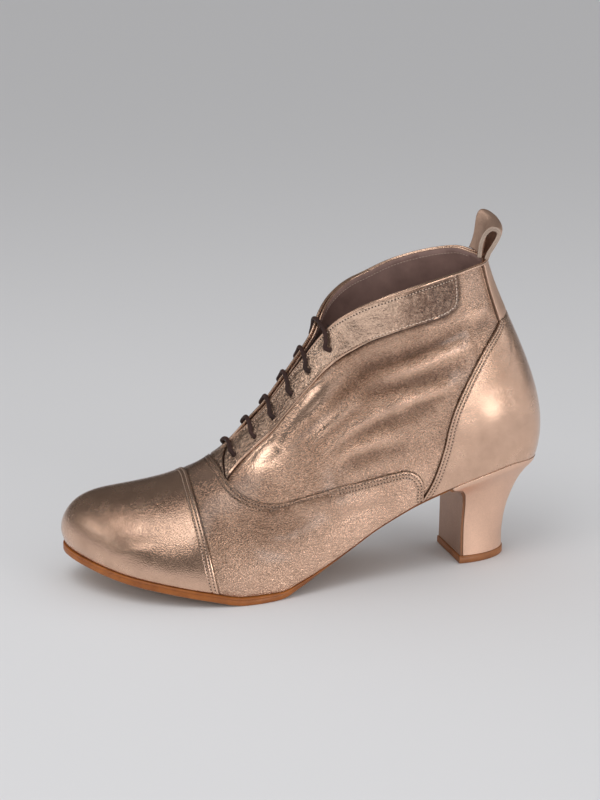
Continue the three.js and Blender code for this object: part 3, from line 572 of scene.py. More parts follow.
def foot_edge(flat_map, start, end, side, spacing=1.1):
    stations = np.linspace(start, end, 200)
    return smooth_line(flat_map.flat(side * stations, 0 * stations), spacing, soft=False)


def joined(*lines):
    """Lines end to end as one outline, without repeated points."""
    points = np.concatenate(lines)
    kept = [points[0]]
    for point in points[1:]:
        if np.linalg.norm(point - kept[-1]) > 0.25:
            kept.append(point)
    while np.linalg.norm(kept[-1] - kept[0]) < 0.25:
        kept.pop()
    return np.array(kept)


FOLD_DEPTH = 1.9
FOLD_WIDTH = 1.0


def soft_folds(points, folds, side=1):
    """Height of troughs and ridges: each has a depth, a half width and a line of station and share up."""
    total = np.zeros(len(points))
    for depth, width, line in folds:
        rows = np.array(line, float)
        line = smooth_line(surface(side * rows[:, 0], rows[:, 1]), 2.0)
        distance, where = nearest(points, line)
        end = running_length(line)[-1]
        fade = np.sin(np.pi * np.clip(where / end, 0.0, 1)) ** 0.6
        total += FOLD_DEPTH * depth * fade * np.exp(-((distance / (FOLD_WIDTH * width)) ** 2))
    return total


def edge_shade(points, flat_map, lines, amount=0.95, width=0.5):
    """Painted shade: a dark line on a panel beside the edge of a piece that lies over it."""
    total = np.zeros(len(points))
    for line in lines:
        distance, _ = nearest(points, surface(*flat_map.spot(line)))
        total = np.maximum(total, amount * np.exp(-((distance / width) ** 2)))
    return total


# The painted highlight on the raised lip at a stitched edge.
PAINTED_EDGE_GLINT = 0.45


def row_shade(points, flat_map, lines, rows, amount=0.5, width=0.4):
    """Painted shade along the sunk rows of stitches beside a seam, and a painted highlight at its edge."""
    total = np.zeros(len(points))
    for line in lines:
        distance, _ = nearest(points, surface(*flat_map.spot(line)))
        for row in rows:
            total = np.maximum(total, amount * np.exp(-(((distance - row) / width) ** 2)))
        total = total - PAINTED_EDGE_GLINT * np.exp(-(((distance - 0.3) / 0.5) ** 2))
    return total


def painted_light_spots(points, rows):
    """Soft round marks of painted light, highlights where the amount is positive and shade where negative:
    each has an amount, a radius, and its station and share up.
    """
    total = np.zeros(len(points))
    for amount, radius, station, up in rows:
        middle = surface(station, up)
        total += amount * np.exp(-(np.linalg.norm(points - middle, axis=1) / radius) ** 2)
    return total


# Leather finish
# Calf with a foil-like metal finish: pebbled where it is soft, smooth where it is pulled over the last.


def new_group(name, inputs, outputs):
    group = bpy.data.node_groups.new(name, "ShaderNodeTree")
    for label, value in inputs:
        socket = group.interface.new_socket(label, in_out="INPUT", socket_type="NodeSocketFloat")
        socket.default_value = value
    for label in outputs:
        group.interface.new_socket(label, in_out="OUTPUT", socket_type="NodeSocketFloat")
    return group, group.nodes.new("NodeGroupInput"), group.nodes.new("NodeGroupOutput")


def math_node(tree, operation, a, b=0.0, clamp=False):
    node = tree.nodes.new("ShaderNodeMath")
    node.operation = operation
    node.use_clamp = clamp
    for socket, value in zip(node.inputs, (a, b)):
        if isinstance(value, bpy.types.NodeSocket):
            tree.links.new(value, socket)
        else:
            socket.default_value = value
    return node.outputs[0]


def noise_node(tree, vector, scale, detail, roughness):
    node = tree.nodes.new("ShaderNodeTexNoise")
    tree.links.new(vector, node.inputs["Vector"])
    if isinstance(scale, bpy.types.NodeSocket):
        tree.links.new(scale, node.inputs["Scale"])
    else:
        node.inputs["Scale"].default_value = scale
    node.inputs["Detail"].default_value = detail
    node.inputs["Roughness"].default_value = roughness
    return node.outputs["Fac"]


def object_coordinates(tree):
    return tree.nodes.new("ShaderNodeTexCoord").outputs["Object"]


grain, grain_in, grain_out = new_group(
    "leather_grain", [("Cells per metre", 900.0), ("Crinkle", 0.3)], ["Height", "Patch", "Fleck"]
)
where_node = object_coordinates(grain)
cell_scale = grain_in.outputs["Cells per metre"]
crinkle_share = grain_in.outputs["Crinkle"]
warp = grain.nodes.new("ShaderNodeVectorMath")
warp.operation = "MULTIPLY_ADD"
warp_noise = grain.nodes.new("ShaderNodeTexNoise")
warp_noise.inputs["Scale"].default_value = 700
grain.links.new(where_node, warp_noise.inputs["Vector"])
grain.links.new(warp_noise.outputs["Color"], warp.inputs[0])
warp.inputs[1].default_value = (0.0005, 0.0005, 0.0005)
grain.links.new(where_node, warp.inputs[2])
cells = grain.nodes.new("ShaderNodeTexVoronoi")
cells.feature = "SMOOTH_F1"
cells.inputs["Smoothness"].default_value = 0.35
grain.links.new(warp.outputs[0], cells.inputs["Vector"])
grain.links.new(cell_scale, cells.inputs["Scale"])
fine_cells = grain.nodes.new("ShaderNodeTexVoronoi")
grain.links.new(warp.outputs[0], fine_cells.inputs["Vector"])
grain.links.new(math_node(grain, "MULTIPLY", cell_scale, 2.1), fine_cells.inputs["Scale"])
crinkle = noise_node(grain, where_node, math_node(grain, "MULTIPLY", cell_scale, 0.85), 3.0, 0.6)
patch = noise_node(grain, where_node, 75, 4.0, 0.62)
height = math_node(grain, "SUBTRACT", 1.0, cells.outputs["Distance"])
fine_height = math_node(grain, "MULTIPLY", fine_cells.outputs["Distance"], 0.4)
height = math_node(grain, "SUBTRACT", height, fine_height)
crinkled = math_node(grain, "MULTIPLY", crinkle, crinkle_share)
height = math_node(grain, "ADD", height, math_node(grain, "MULTIPLY", crinkled, 2.6))
lumps = math_node(grain, "MULTIPLY", math_node(grain, "MULTIPLY", patch, crinkle_share), 9.0)
height = math_node(grain, "ADD", height, lumps)
grain.links.new(height, grain_out.inputs["Height"])
grain.links.new(patch, grain_out.inputs["Patch"])
fleck_scale = math_node(grain, "MULTIPLY", cell_scale, 0.75)
fleck = math_node(grain, "SUBTRACT", noise_node(grain, where_node, fleck_scale, 2.0, 0.75), 0.5)
grain.links.new(fleck, grain_out.inputs["Fleck"])


def group_node(tree, group, **values):
    node = tree.nodes.new("ShaderNodeGroup")
    node.node_tree = group
    for label, value in values.items():
        node.inputs[label.replace("_", " ")].default_value = value
    return node


def colour_ramp(tree, factor, stops):
    node = tree.nodes.new("ShaderNodeValToRGB")
    node.color_ramp.elements[0].position = stops[0][0]
    node.color_ramp.elements[0].color = (*stops[0][1], 1)
    node.color_ramp.elements[1].position = stops[-1][0]
    node.color_ramp.elements[1].color = (*stops[-1][1], 1)
    for position, colour in stops[1:-1]:
        node.color_ramp.elements.new(position).color = (*colour, 1)
    tree.links.new(factor, node.inputs["Fac"])
    return node.outputs["Color"]


def new_material(name):
    material = bpy.data.materials.new(name)
    material.use_nodes = True
    tree = material.node_tree
    return material, tree, tree.nodes["Principled BSDF"]


def bump_into(tree, shader, height_socket, strength, distance):
    bump = tree.nodes.new("ShaderNodeBump")
    bump.inputs["Strength"].default_value = strength
    bump.inputs["Distance"].default_value = distance
    tree.links.new(height_socket, bump.inputs["Height"])
    tree.links.new(bump.outputs["Normal"], shader.inputs["Normal"])


# The darkest colour, for the dye on cut edges and for painted shade at edges, seams and stitch rows.
EDGE_DYE_AND_SHADE = (0.06, 0.026, 0.016)
FOIL = 0.88
COAT_ROUGH = 0.24
PEBBLE_DEPTH = 0.00035


def metal_leather(name, dark, light, cells_per_metre, crinkle, strength, rough, coat=0.1, flecks=1.0):
    """Foil-finished leather, from the dark of dye and painted shade at an edge over the dark and the light
    colour as its tone rises.
    """
    material, tree, shader = new_material(name)
    skin = group_node(tree, grain, Cells_per_metre=cells_per_metre, Crinkle=crinkle)
    tone = tree.nodes.new("ShaderNodeAttribute")
    tone.attribute_name = "tone"
    shade = math_node(tree, "ADD", math_node(tree, "MULTIPLY", tone.outputs["Fac"], 0.85), -0.36)
    shade = math_node(tree, "ADD", shade, math_node(tree, "MULTIPLY", skin.outputs["Patch"], 0.85))
    shade = math_node(tree, "SUBTRACT", shade, math_node(tree, "MULTIPLY", skin.outputs["Fleck"], flecks))
    shade = math_node(tree, "ADD", math_node(tree, "MULTIPLY", shade, 0.5), 0.5, clamp=True)
    stops = [(0.1, EDGE_DYE_AND_SHADE), (0.42, dark), (1, light)]
    tree.links.new(colour_ramp(tree, shade, stops), shader.inputs["Base Color"])
    shader.inputs["Metallic"].default_value = FOIL
    uneven = math_node(tree, "MULTIPLY", skin.outputs["Patch"], 0.12)
    tree.links.new(math_node(tree, "ADD", uneven, rough - 0.06), shader.inputs["Roughness"])
    shader.inputs["Coat Weight"].default_value = coat
    shader.inputs["Coat Roughness"].default_value = COAT_ROUGH
    pebbled = math_node(tree, "SUBTRACT", 1.15, tone.outputs["Fac"])
    height_socket = math_node(tree, "MULTIPLY", skin.outputs["Height"], pebbled)
    bump_into(tree, shader, height_socket, strength, PEBBLE_DEPTH)
    return material


# Each dark and light pair spans the leather's own mottling and the tone's painted highlights and shade.
ROSE_DARK = (0.28, 0.155, 0.095)
ROSE_LIGHT = (0.88, 0.58, 0.42)
BAND_DARK = (0.22, 0.12, 0.08)
BAND_LIGHT = (0.92, 0.64, 0.47)
soft_leather = metal_leather(
    "soft_rose_leather", ROSE_DARK, ROSE_LIGHT, 1400, 0.45, 1.0, 0.24, coat=0.5, flecks=1.5
)
pulled_leather = metal_leather(
    "pulled_rose_leather", ROSE_DARK, ROSE_LIGHT, 1700, 0.25, 0.42, 0.26, coat=0.5, flecks=0.45
)
band_leather = metal_leather(
    "crinkled_band_leather", BAND_DARK, BAND_LIGHT, 900, 1.4, 1.0, 0.26, coat=0.45, flecks=1.9
)

# Toe cap
# Thick smooth calf lasted over the toe, its back edge skived and stitched down on the vamp with two rows.
CAP_SEAM = [[11.97, 0], [12.06, 0.15], [12.11, 0.3], [12.16, 0.5], [12.16, 0.77], [12.11, 1]]
CAP_RISE = 0.5
CAP_INNER = -0.9
ROW_ONE = 1.3
ROW_TWO = 3.2
SEAM_ROWS = (0.75, 1.05, 1.3, 1.6, 2.25, 2.9, 3.2, 3.5, 4.3)
SHADE_ROWS = (0.35, 0.8, 1.5)


def across_ridge(rows, spacing=0.9):
    """A seam that crosses the ridge from the outer side to the inner side."""
    rows = np.array(rows, float)
    if rows[0][1] > rows[-1][1]:
        rows = rows[::-1]
    outer_side = RidgeMap.flat(rows[:, 0], rows[:, 1])
    inner_side = RidgeMap.flat(-rows[:, 0], rows[:, 1])
    return smooth_line(np.concatenate([outer_side, inner_side[::-1][1:]]), spacing)


def stitched_edge(points, line, rows=(ROW_ONE, ROW_TWO), lip=0.3, sunk=0.35):
    """Height beside a stitched edge: a raised lip, sunk stitch rows and a rib between them."""
    distance, _ = nearest(points, line)
    total = lip * np.exp(-((distance - 0.5) / 0.5) ** 2)
    for row in rows:
        total -= sunk * np.exp(-(((distance - row) / 0.32) ** 2))
    if len(rows) > 1:
        total += 0.18 * np.exp(-(((distance - sum(rows) / 2) / 0.6) ** 2))
    return total


cap_line = across_ridge(CAP_SEAM)
cap_start = CAP_SEAM[0][0]
cap_outline = joined(
    cap_line,
    foot_edge(RidgeMap, cap_start, LAST_STATION - 0.05, -1),
    foot_edge(RidgeMap, cap_start, LAST_STATION - 0.05, 1)[::-1],
)
CAP_FOLDS = [
    [0.14, 2.6, [[15.25, 0.15], [15.0, 0.2], [14.72, 0.235], [14.4, 0.25], [14.0, 0.25]]],
    [-0.2, 3.4, [[14.75, 0.31], [14.45, 0.33], [14.0, 0.35], [13.5, 0.36]]],
    [-0.2, 12.0, [[14.2, 0.42], [13.6, 0.38], [13.0, 0.38], [12.6, 0.4]]],
    [0.15, 9.0, [[13.9, 0.16], [13.2, 0.18], [12.5, 0.18]]],
]
# Painted shade in soft marks over the top of the toe cap.
CAP_PAINTED_SHADE = [[-0.3, 26, 14.6, 0.75], [-0.25, 20, 13.2, 0.5]]


def cap_relief(points, station, up, flat):
    line = surface(*RidgeMap.spot(cap_line))
    return soft_folds(points, CAP_FOLDS) + stitched_edge(points, line)


def cap_tone(points, station, up, flat):
    # Lighter towards the foot, partly leather pulled smooth and partly a painted reflection of the floor;
    # painted shade along the stitch rows.
    tone = 0.66 + 0.1 * (1 - up) + painted_light_spots(points, CAP_PAINTED_SHADE)
    return tone - row_shade(points, RidgeMap, [cap_line], (ROW_ONE, ROW_TWO))


toe_cap = cut_panel(
    "toe_cap",
    RidgeMap,
    cap_outline,
    [(cap_line, SEAM_ROWS)],
    CAP_RISE,
    CAP_INNER,
    pulled_leather,
    cap_relief,
    cap_tone,
)
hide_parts("toe_cap")
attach(toe_cap, "root")

# Vamp
# Softer pebbled calf over the ball, running back as a low wing on each side and stitched over the quarters.
VAMP_SEAM = [
    [11.3, 1],
    [11.25, 0.88],
    [11.11, 0.7],
    [10.93, 0.6],
    [10.64, 0.517],
    [10.31, 0.458],
    [9.74, 0.4],
    [9.07, 0.342],
    [8.03, 0.283],
    [7.08, 0.24],
    [6.32, 0.208],
    [5.84, 0.19],
    [5.42, 0.167],
    [5.2, 0.133],
    [5.08, 0.083],
    [5.13, 0.02],
    [5.16, 0],
]
UNDER_CAP = 12.45
PANEL_INNER = -1.15
vamp_line = across_ridge(VAMP_SEAM)
vamp_end = VAMP_SEAM[-1][0]
under_cap = across_ridge([[UNDER_CAP, 0], [UNDER_CAP + 0.1, 0.5], [UNDER_CAP + 0.1, 1]], 1.4)
vamp_outline = joined(
    vamp_line,
    foot_edge(RidgeMap, vamp_end, UNDER_CAP, -1),
    under_cap[::-1],
    foot_edge(RidgeMap, vamp_end, UNDER_CAP, 1)[::-1],
)
VAMP_FOLDS = [
    [-0.55, 5.0, [[10.7, 0.42], [9.9, 0.34], [8.9, 0.26], [7.9, 0.2]]],
    [0.4, 5.0, [[11.3, 0.36], [10.4, 0.27], [9.4, 0.19]]],
    [-0.45, 4.5, [[11.7, 0.5], [11.0, 0.35], [10.2, 0.22], [9.2, 0.13]]],
    [0.3, 3.5, [[8.3, 0.22], [7.3, 0.17], [6.2, 0.12]]],
    [-0.35, 3.0, [[8.0, 0.16], [7.0, 0.12], [6.1, 0.09]]],
    [-0.3, 6.0, [[11.5, 0.92], [11.55, 0.8], [11.5, 0.66]]],
]
# Painted light in soft marks: highlights near the throat, and shade lower down the side.
VAMP_PAINTED_LIGHT = [[0.7, 9, 11.65, 0.84], [0.3, 14, 11.2, 0.62], [-0.2, 22, 9.8, 0.3]]
CAP_PRESS = 0.25


def vamp_relief(points, station, up, flat):
    line = surface(*RidgeMap.spot(vamp_line))
    fade = smooth_share(station, 11.7, 12.1)
    folds = soft_folds(points, VAMP_FOLDS) + soft_folds(points, VAMP_FOLDS, -1)
    pressed = CAP_PRESS * smooth_share(np.abs(station), 12.0, 12.2)
    return (folds + stitched_edge(points, line)) * (1 - fade) - pressed


def vamp_tone(points, station, up, flat):
    # Lighter towards the foot, partly leather pulled smooth and partly a painted reflection of the floor;
    # painted shade under the cap's edge and along the stitch rows.
    low = 1 - smooth_share(up, 0.08, 0.4)
    low = low - edge_shade(points, RidgeMap, [cap_line]) / 0.35
    low = low - row_shade(points, RidgeMap, [vamp_line], (ROW_ONE, ROW_TWO)) / 0.35
    return 0.24 + 0.35 * low + painted_light_spots(points, VAMP_PAINTED_LIGHT)


vamp = cut_panel(
    "vamp",
    RidgeMap,
    vamp_outline,
    [(vamp_line, SEAM_ROWS), (cap_line, SHADE_ROWS)],
    0.0,
    PANEL_INNER,
    soft_leather,
    vamp_relief,
    vamp_tone,
)
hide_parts("vamp")
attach(vamp, "root")

# Quarters
# One soft panel on each side, joined at the back under the strap, creased by the ankle's bend.
FACING_SEAM = [
    [11.4, 0.65],
    [11.11, 0.717],
    [10.31, 0.783],
    [9.5, 0.792],
    [8.69, 0.792],
    [7.51, 0.792],
    [6.56, 0.808],
    [5.65, 0.828],
    [4.84, 0.833],
    [3.99, 0.828],
    [3.37, 0.835],
    [3.14, 0.85],
    [2.99, 0.9],
    [2.9, 0.998],
]
COUNTER_SEAM = [
    [1.43, 0.717],
    [2.04, 0.667],
    [2.66, 0.6],
    [3.14, 0.525],
    [3.47, 0.458],
    [3.8, 0.383],
    [4.08, 0.3],
    [4.32, 0.208],
    [4.58, 0.125],
    [4.84, 0.06],
    [5.2, 0],
]
STRAP_SEAM = [[1.48, 0.717], [1.47, 0.81], [1.43, 0.9], [1.38, 1]]
QUARTER_OUT = -1.3
QUARTER_INNER = -2.8
quarter_front = [[11.5, 0], [11.5, 0.3], [11.5, 0.55], [11.4, 0.7]]
quarter_top = [
    [11.4, 0.7],
    [11.0, 0.76],
    [10.3, 0.815],
    [8.7, 0.82],
    [6.6, 0.84],
    [4.8, 0.865],
    [3.9, 0.86],
]
collar_join = [[3.9, 0.86], [3.5, 0.88], [3.25, 0.92], [3.15, 1.0]]


def collar_edge(start, end, spacing=1.1):
    stations = np.linspace(start, end, 200)
    return smooth_line(HeelMap.flat(stations, 1 + 0 * stations), spacing, soft=False)


quarter_outline = joined(
    foot_edge(HeelMap, 0.001, 11.5, -1)[::-1],
    foot_edge(HeelMap, 0.001, 11.5, 1),
    seam(HeelMap, quarter_front, 1, 1.2),
    seam(HeelMap, quarter_top, 1, 1.2),
    seam(HeelMap, collar_join, 1, 1.1),
    collar_edge(3.15, -3.15),
    seam(HeelMap, collar_join, -1, 1.1)[::-1],
    seam(HeelMap, quarter_top, -1, 1.2)[::-1],
    seam(HeelMap, quarter_front, -1, 1.2)[::-1],
)
QUARTER_FOLDS = [
    [0.9, 6.5, [[10.6, 0.7], [9.6, 0.72], [8.7, 0.73], [7.6, 0.72], [6.4, 0.73]]],
    [-0.75, 4.5, [[9.5, 0.64], [8.5, 0.63], [7.6, 0.63], [6.8, 0.655], [5.9, 0.7], [5.1, 0.735]]],
    [0.6, 3.4, [[9.0, 0.57], [8.3, 0.55], [7.7, 0.545], [7.0, 0.56], [6.3, 0.59]]],
    [-0.5, 3.0, [[8.7, 0.5], [7.9, 0.5], [7.1, 0.51], [6.4, 0.53]]],
    [0.7, 3.6, [[8.4, 0.47], [7.3, 0.465], [6.4, 0.47], [5.6, 0.485], [4.8, 0.5]]],
    [-0.75, 3.4, [[6.6, 0.6], [5.9, 0.585], [5.2, 0.57], [4.5, 0.56], [3.9, 0.56], [3.3, 0.575]]],
    [-0.8, 3.3, [[6.2, 0.7], [5.5, 0.7], [4.6, 0.7], [3.6, 0.715], [2.8, 0.735]]],
    [0.65, 3.2, [[5.7, 0.64], [5.0, 0.64], [4.3, 0.64], [3.5, 0.65], [2.9, 0.655]]],
    [-0.6, 3.6, [[7.8, 0.43], [6.9, 0.42], [6.0, 0.425], [5.1, 0.42], [4.3, 0.42]]],
    [0.5, 3.6, [[7.9, 0.385], [7.0, 0.375], [6.2, 0.36], [5.3, 0.345]]],
    [-0.5, 3.6, [[7.6, 0.335], [6.8, 0.32], [6.0, 0.3], [5.2, 0.27]]],
    [0.5, 3.0, [[5.6, 0.5], [4.9, 0.49], [4.2, 0.485], [3.6, 0.5]]],
    [-0.4, 2.4, [[5.2, 0.455], [4.6, 0.45], [4.0, 0.455]]],
    [0.4, 2.6, [[2.9, 0.8], [2.5, 0.79], [2.0, 0.8], [1.7, 0.82]]],
    [-0.4, 2.6, [[2.9, 0.73], [2.4, 0.72], [1.9, 0.735]]],
]
INNER_QUARTER_FOLDS = [
    [0.7, 7.0, [[10.4, 0.7], [9.2, 0.72], [8.0, 0.72], [6.6, 0.73]]],
    [-0.7, 4.2, [[8.8, 0.61], [7.6, 0.6], [6.5, 0.62], [5.4, 0.68], [4.4, 0.72]]],
    [0.6, 3.8, [[8.4, 0.53], [7.2, 0.53], [6.1, 0.55], [5.0, 0.6]]],
    [-0.7, 3.6, [[8.0, 0.47], [6.8, 0.47], [5.6, 0.5], [4.5, 0.56], [3.6, 0.6]]],
    [0.6, 3.4, [[7.4, 0.4], [6.3, 0.41], [5.2, 0.44], [4.3, 0.49]]],
    [-0.55, 3.6, [[7.2, 0.34], [6.2, 0.35], [5.2, 0.37]]],
]


DEEPEST_FOLD = 0.95
VAMP_WING = 3
# Painted highlights and shade in soft marks over the quarters, below the facing and round the ankle.
BAND_PAINTED_LIGHT = [[0.6, 13, 9.9, 0.7], [0.6, 11, 8.4, 0.7], [-0.12, 18, 6.2, 0.6]]
ANKLE_PAINTED_LIGHT = [[-0.12, 16, 4.4, 0.65], [0.2, 12, 2.4, 0.85]]


def quarter_relief(points, station, up, flat):
    x, z = points[:, 0], points[:, 2]
    lumps = 0.12 * np.sin(x / 3.1 + z / 5.3) * np.sin(z / 4.1 - x / 9)
    low = smooth_share(up, 0.0, 0.2) * (1 - smooth_share(up, 0.9, 1))
    folds = soft_folds(points, QUARTER_FOLDS) + soft_folds(points, INNER_QUARTER_FOLDS, -1)
    height = (folds + lumps) * low
    return np.where(height < 0, np.tanh(height / DEEPEST_FOLD) * DEEPEST_FOLD, height)


def on_quarters(rows):
    """A seam of a piece that lies over the quarters, on both sides."""
    return [seam(HeelMap, rows, side) for side in (1, -1)]


facing_edges = on_quarters(FACING_SEAM)
strap_edges = on_quarters(STRAP_SEAM)
over_quarters = on_quarters(COUNTER_SEAM) + facing_edges + on_quarters(VAMP_SEAM[VAMP_WING:]) + strap_edges


def quarter_tone(points, station, up, flat):
    # Painted highlight on the creases' ridges and painted shade in their troughs, and painted shade beside
    # the pieces over the quarters.
    folds = soft_folds(points, QUARTER_FOLDS) + soft_folds(points, INNER_QUARTER_FOLDS, -1)
    tone = 0.4 * folds - edge_shade(points, HeelMap, over_quarters, 0.5)
    tone = tone - edge_shade(points, HeelMap, facing_edges, 0.9, 1.7)
    tone = tone - edge_shade(points, HeelMap, strap_edges, 1.0, 0.9)
    # Lighter towards the foot, partly leather pulled smooth and partly a painted reflection of the floor.
    tone = tone + 0.34 + 0.25 * (1 - smooth_share(up, 0.1, 0.3))
    return tone + painted_light_spots(points, BAND_PAINTED_LIGHT) + painted_light_spots(points, ANKLE_PAINTED_LIGHT)


quarters = cut_panel(
    "quarters",
    HeelMap,
    quarter_outline,
    [(line, SHADE_ROWS) for line in over_quarters],
    QUARTER_OUT,
    QUARTER_INNER,
    soft_leather,
    quarter_relief,
    quarter_tone,
    grid=1.35,
)
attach(quarters, "root")

# Heel counter
# A stiff smooth panel cupped round the heel, over the quarters, with two rows behind its front edge.
counter_line = seam(HeelMap, COUNTER_SEAM)
counter_inner_line = seam(HeelMap, COUNTER_SEAM, -1)
counter_end = COUNTER_SEAM[-1][0]
counter_top = seam(HeelMap, [[1.43, 0.717], [0.9, 0.722], [0.4, 0.724], [0.001, 0.724]], 1, 1.0)
counter_top_inner = counter_top * (-1, 1)
counter_outline = joined(
    counter_line[::-1],
    counter_top,
    counter_top_inner[::-1],
    counter_inner_line,
    foot_edge(HeelMap, 0.001, counter_end, -1)[::-1],
    foot_edge(HeelMap, 0.001, counter_end, 1),
)
COUNTER_FOLDS = [
    [-0.35, 7.0, [[3.6, 0.12], [2.8, 0.1], [2.0, 0.13], [1.2, 0.2]]],
    [0.45, 9.0, [[3.3, 0.26], [2.6, 0.27], [2.0, 0.32]]],
    [-0.25, 0.8, [[1.04, 0.62], [1.45, 0.56], [1.9, 0.49]]],
]
# Painted shade and a painted highlight in soft marks over the counter.
COUNTER_PAINTED_LIGHT = [[-0.3, 16, 2.6, 0.52], [0.15, 14, 2.8, 0.27], [-0.25, 18, 1.2, 0.5]]


def counter_relief(points, station, up, flat):
    total = soft_folds(points, COUNTER_FOLDS) + soft_folds(points, COUNTER_FOLDS[:2], -1)
    for line in (counter_line, counter_inner_line):
        total += stitched_edge(points, surface(*HeelMap.spot(line)))
    return total


def counter_tone(points, station, up, flat):
    tone = 0.72 + painted_light_spots(points, COUNTER_PAINTED_LIGHT)
    return tone - row_shade(points, HeelMap, [counter_line, counter_inner_line], (ROW_ONE, ROW_TWO))


counter = cut_panel(
    "counter",
    HeelMap,
    counter_outline,
    [(counter_line, SEAM_ROWS), (counter_inner_line, SEAM_ROWS)],
    0.0,
    PANEL_INNER,
    pulled_leather,
    counter_relief,
    counter_tone,
)
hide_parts("counter")
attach(counter, "root")

# Facings
# A long band of crinkled leather on each side of the throat, carried on round the collar to a stitched end.
# The inner one runs on under the vamp, so that a dark gap is left in front of the outer one.
FACING_FRONT = [[10.6, 0.99], [10.78, 0.96], [10.95, 0.9], [11.05, 0.82], [11.12, 0.74], [11.25, 0.66]]
GAP_BEHIND = [[10.78, 0.99], [10.92, 0.955], [11.03, 0.9], [11.11, 0.82], [11.16, 0.745], [11.4, 0.66]]
EYELETS = [[10.74, 1.33], [10.12, 1.14], [9.55, 1.04], [8.98, 1], [8.31, 0.98], [7.25, 1.1]]
EYELET_INSET = 9
EYELET_RADIUS = 1.3
THROAT_FOOT = 10.6
FACING_END = 2.9
FACING_INNER = -2.7
FACING_ROW = 1.2
FACING_ROWS = (0.7, FACING_ROW, 1.7)
FACING_SUNK = 1.05
EYELET_PRESS = 0.35


def top_edge(start, end, side, inset, spacing=1.0):
    """The throat's and the collar's edge on the ridge map, a little inside it."""
    stations = np.linspace(start, end, 300)
    line = RidgeMap.flat(side * stations, 1 + 0 * stations)
    line[:, 1] = side * inset
    return smooth_line(line, spacing, soft=False)


facing_line = seam(RidgeMap, FACING_SEAM)
facing_line_inner = seam(RidgeMap, FACING_SEAM, -1)
front_line = seam(RidgeMap, FACING_FRONT)
outer_facing_outline = joined(
    facing_line,
    top_edge(FACING_END, THROAT_FOOT, 1, 0.12),
    front_line,
)
under_throat = across_ridge([[11.5, 0.7], [11.5, 1]], 1.2)
inner_facing_outline = joined(
    facing_line_inner,
    top_edge(FACING_END, 10.98, -1, 0.12),
    top_edge(11.0, 10.8, 1, 0.12),
    seam(RidgeMap, GAP_BEHIND),
    under_throat[::-1] if under_throat[0][1] < 0 else under_throat,
)
eyelet_ups = [below_top(station, inset * EYELET_INSET) for station, inset in EYELETS]


def eyelet_holes(side):
    return [
        (RidgeMap.flat(side * station, up), EYELET_RADIUS)
        for (station, _), up in zip(EYELETS, eyelet_ups)
    ]


def under_vamp(points, flat):
    """How far a panel has gone under the vamp's edge, from 0 to 1."""
    distance, _ = nearest(points, surface(*RidgeMap.spot(vamp_line)))
    return smooth_share(np.where(inside_polygon(flat, vamp_outline), distance, -distance), -1.3, -0.1)


def facing_relief(points, station, up, flat):
    total = -FACING_SUNK * under_vamp(points, flat)
    for side, line in ((1, facing_line), (-1, facing_line_inner)):
        on_side = (np.sign(flat[:, 1]) == side) * 1.0
        total += on_side * stitched_edge(points, surface(*RidgeMap.spot(line)), (FACING_ROW,), 0.1, 0.25)
    for (place_station, _), eyelet_up in zip(EYELETS, eyelet_ups):
        for side in (1, -1):
            middle = surface(side * place_station, eyelet_up)
            away = np.linalg.norm(points - middle, axis=1)
            total -= EYELET_PRESS * np.exp(-(((away - EYELET_RADIUS) / 0.8) ** 2))
    ripple = 0.16 * np.sin(flat[:, 0] / 2.3) * np.sin(flat[:, 1] / 3.1 + flat[:, 0] / 7.0)
    return total + ripple * (1 - smooth_share(np.abs(station), 6.0, 9.0))


def facing_tone(points, station, up, flat):
    s = np.abs(station)
    tone = -0.1 + 0.97 * smooth_share(s, 3.9, 5.6) - 0.42 * smooth_share(s, 7.6, 9.2)
    tone = tone + 0.15 * smooth_share(1 - up, 0.1, 0.02)
    # Painted shade where the facing runs under the vamp's edge.
    return tone - edge_shade(points, RidgeMap, [vamp_line])


outer_facing = cut_panel(
    "outer_facing",
    RidgeMap,
    outer_facing_outline,
    [(facing_line, FACING_ROWS)],
    0.0,
    FACING_INNER,
    band_leather,
    facing_relief,
    facing_tone,
    grid=1.2,
    holes=eyelet_holes(1),
)
inner_facing = cut_panel(
    "inner_facing",
    RidgeMap,
    inner_facing_outline,
    [(facing_line_inner, FACING_ROWS)],
    0.0,
    FACING_INNER,
    band_leather,
    facing_relief,
    facing_tone,
    grid=1.4,
    holes=eyelet_holes(-1),
)
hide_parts("outer_facing")
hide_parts("inner_facing")
for piece in (outer_facing, inner_facing):
    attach(piece, "root")

# Back strap
# A narrow strip up the back from the counter to the collar, over the quarters' join.
strap_leather = metal_leather("strap_leather", (0.6, 0.39, 0.285), (0.86, 0.6, 0.46), 1800, 0.15, 0.25, 0.5)
strap_line = seam(HeelMap, STRAP_SEAM, 1, 0.8)
strap_line_inner = seam(HeelMap, STRAP_SEAM, -1, 0.8)
STRAP_FOOT = [[-1.48, 0.71], [-0.9, 0.715], [0.001, 0.716], [0.9, 0.715], [1.48, 0.71]]
strap_foot = seam(HeelMap, STRAP_FOOT)
strap_outline = joined(strap_line, collar_edge(1.38, -1.38, 0.9), strap_line_inner[::-1], strap_foot)


def strap_relief(points, station, up, flat):
    total = -0.2 * smooth_share(up, 0.74, 0.722)
    for line in (strap_line, strap_line_inner):
        total += stitched_edge(points, surface(*HeelMap.spot(line)), (FACING_ROW,), 0.1, 0.2)
    return total


def strap_tone(points, station, up, flat):
    return 0.45 + 0 * up


back_strap = cut_panel(
    "back_strap",
    HeelMap,
    strap_outline,
    [(strap_line, FACING_ROWS), (strap_line_inner, FACING_ROWS)],
    0.05,
    FACING_INNER,
    strap_leather,
    strap_relief,
    strap_tone,
    grid=1.1,
)
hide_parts("back_strap")
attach(back_strap, "root")

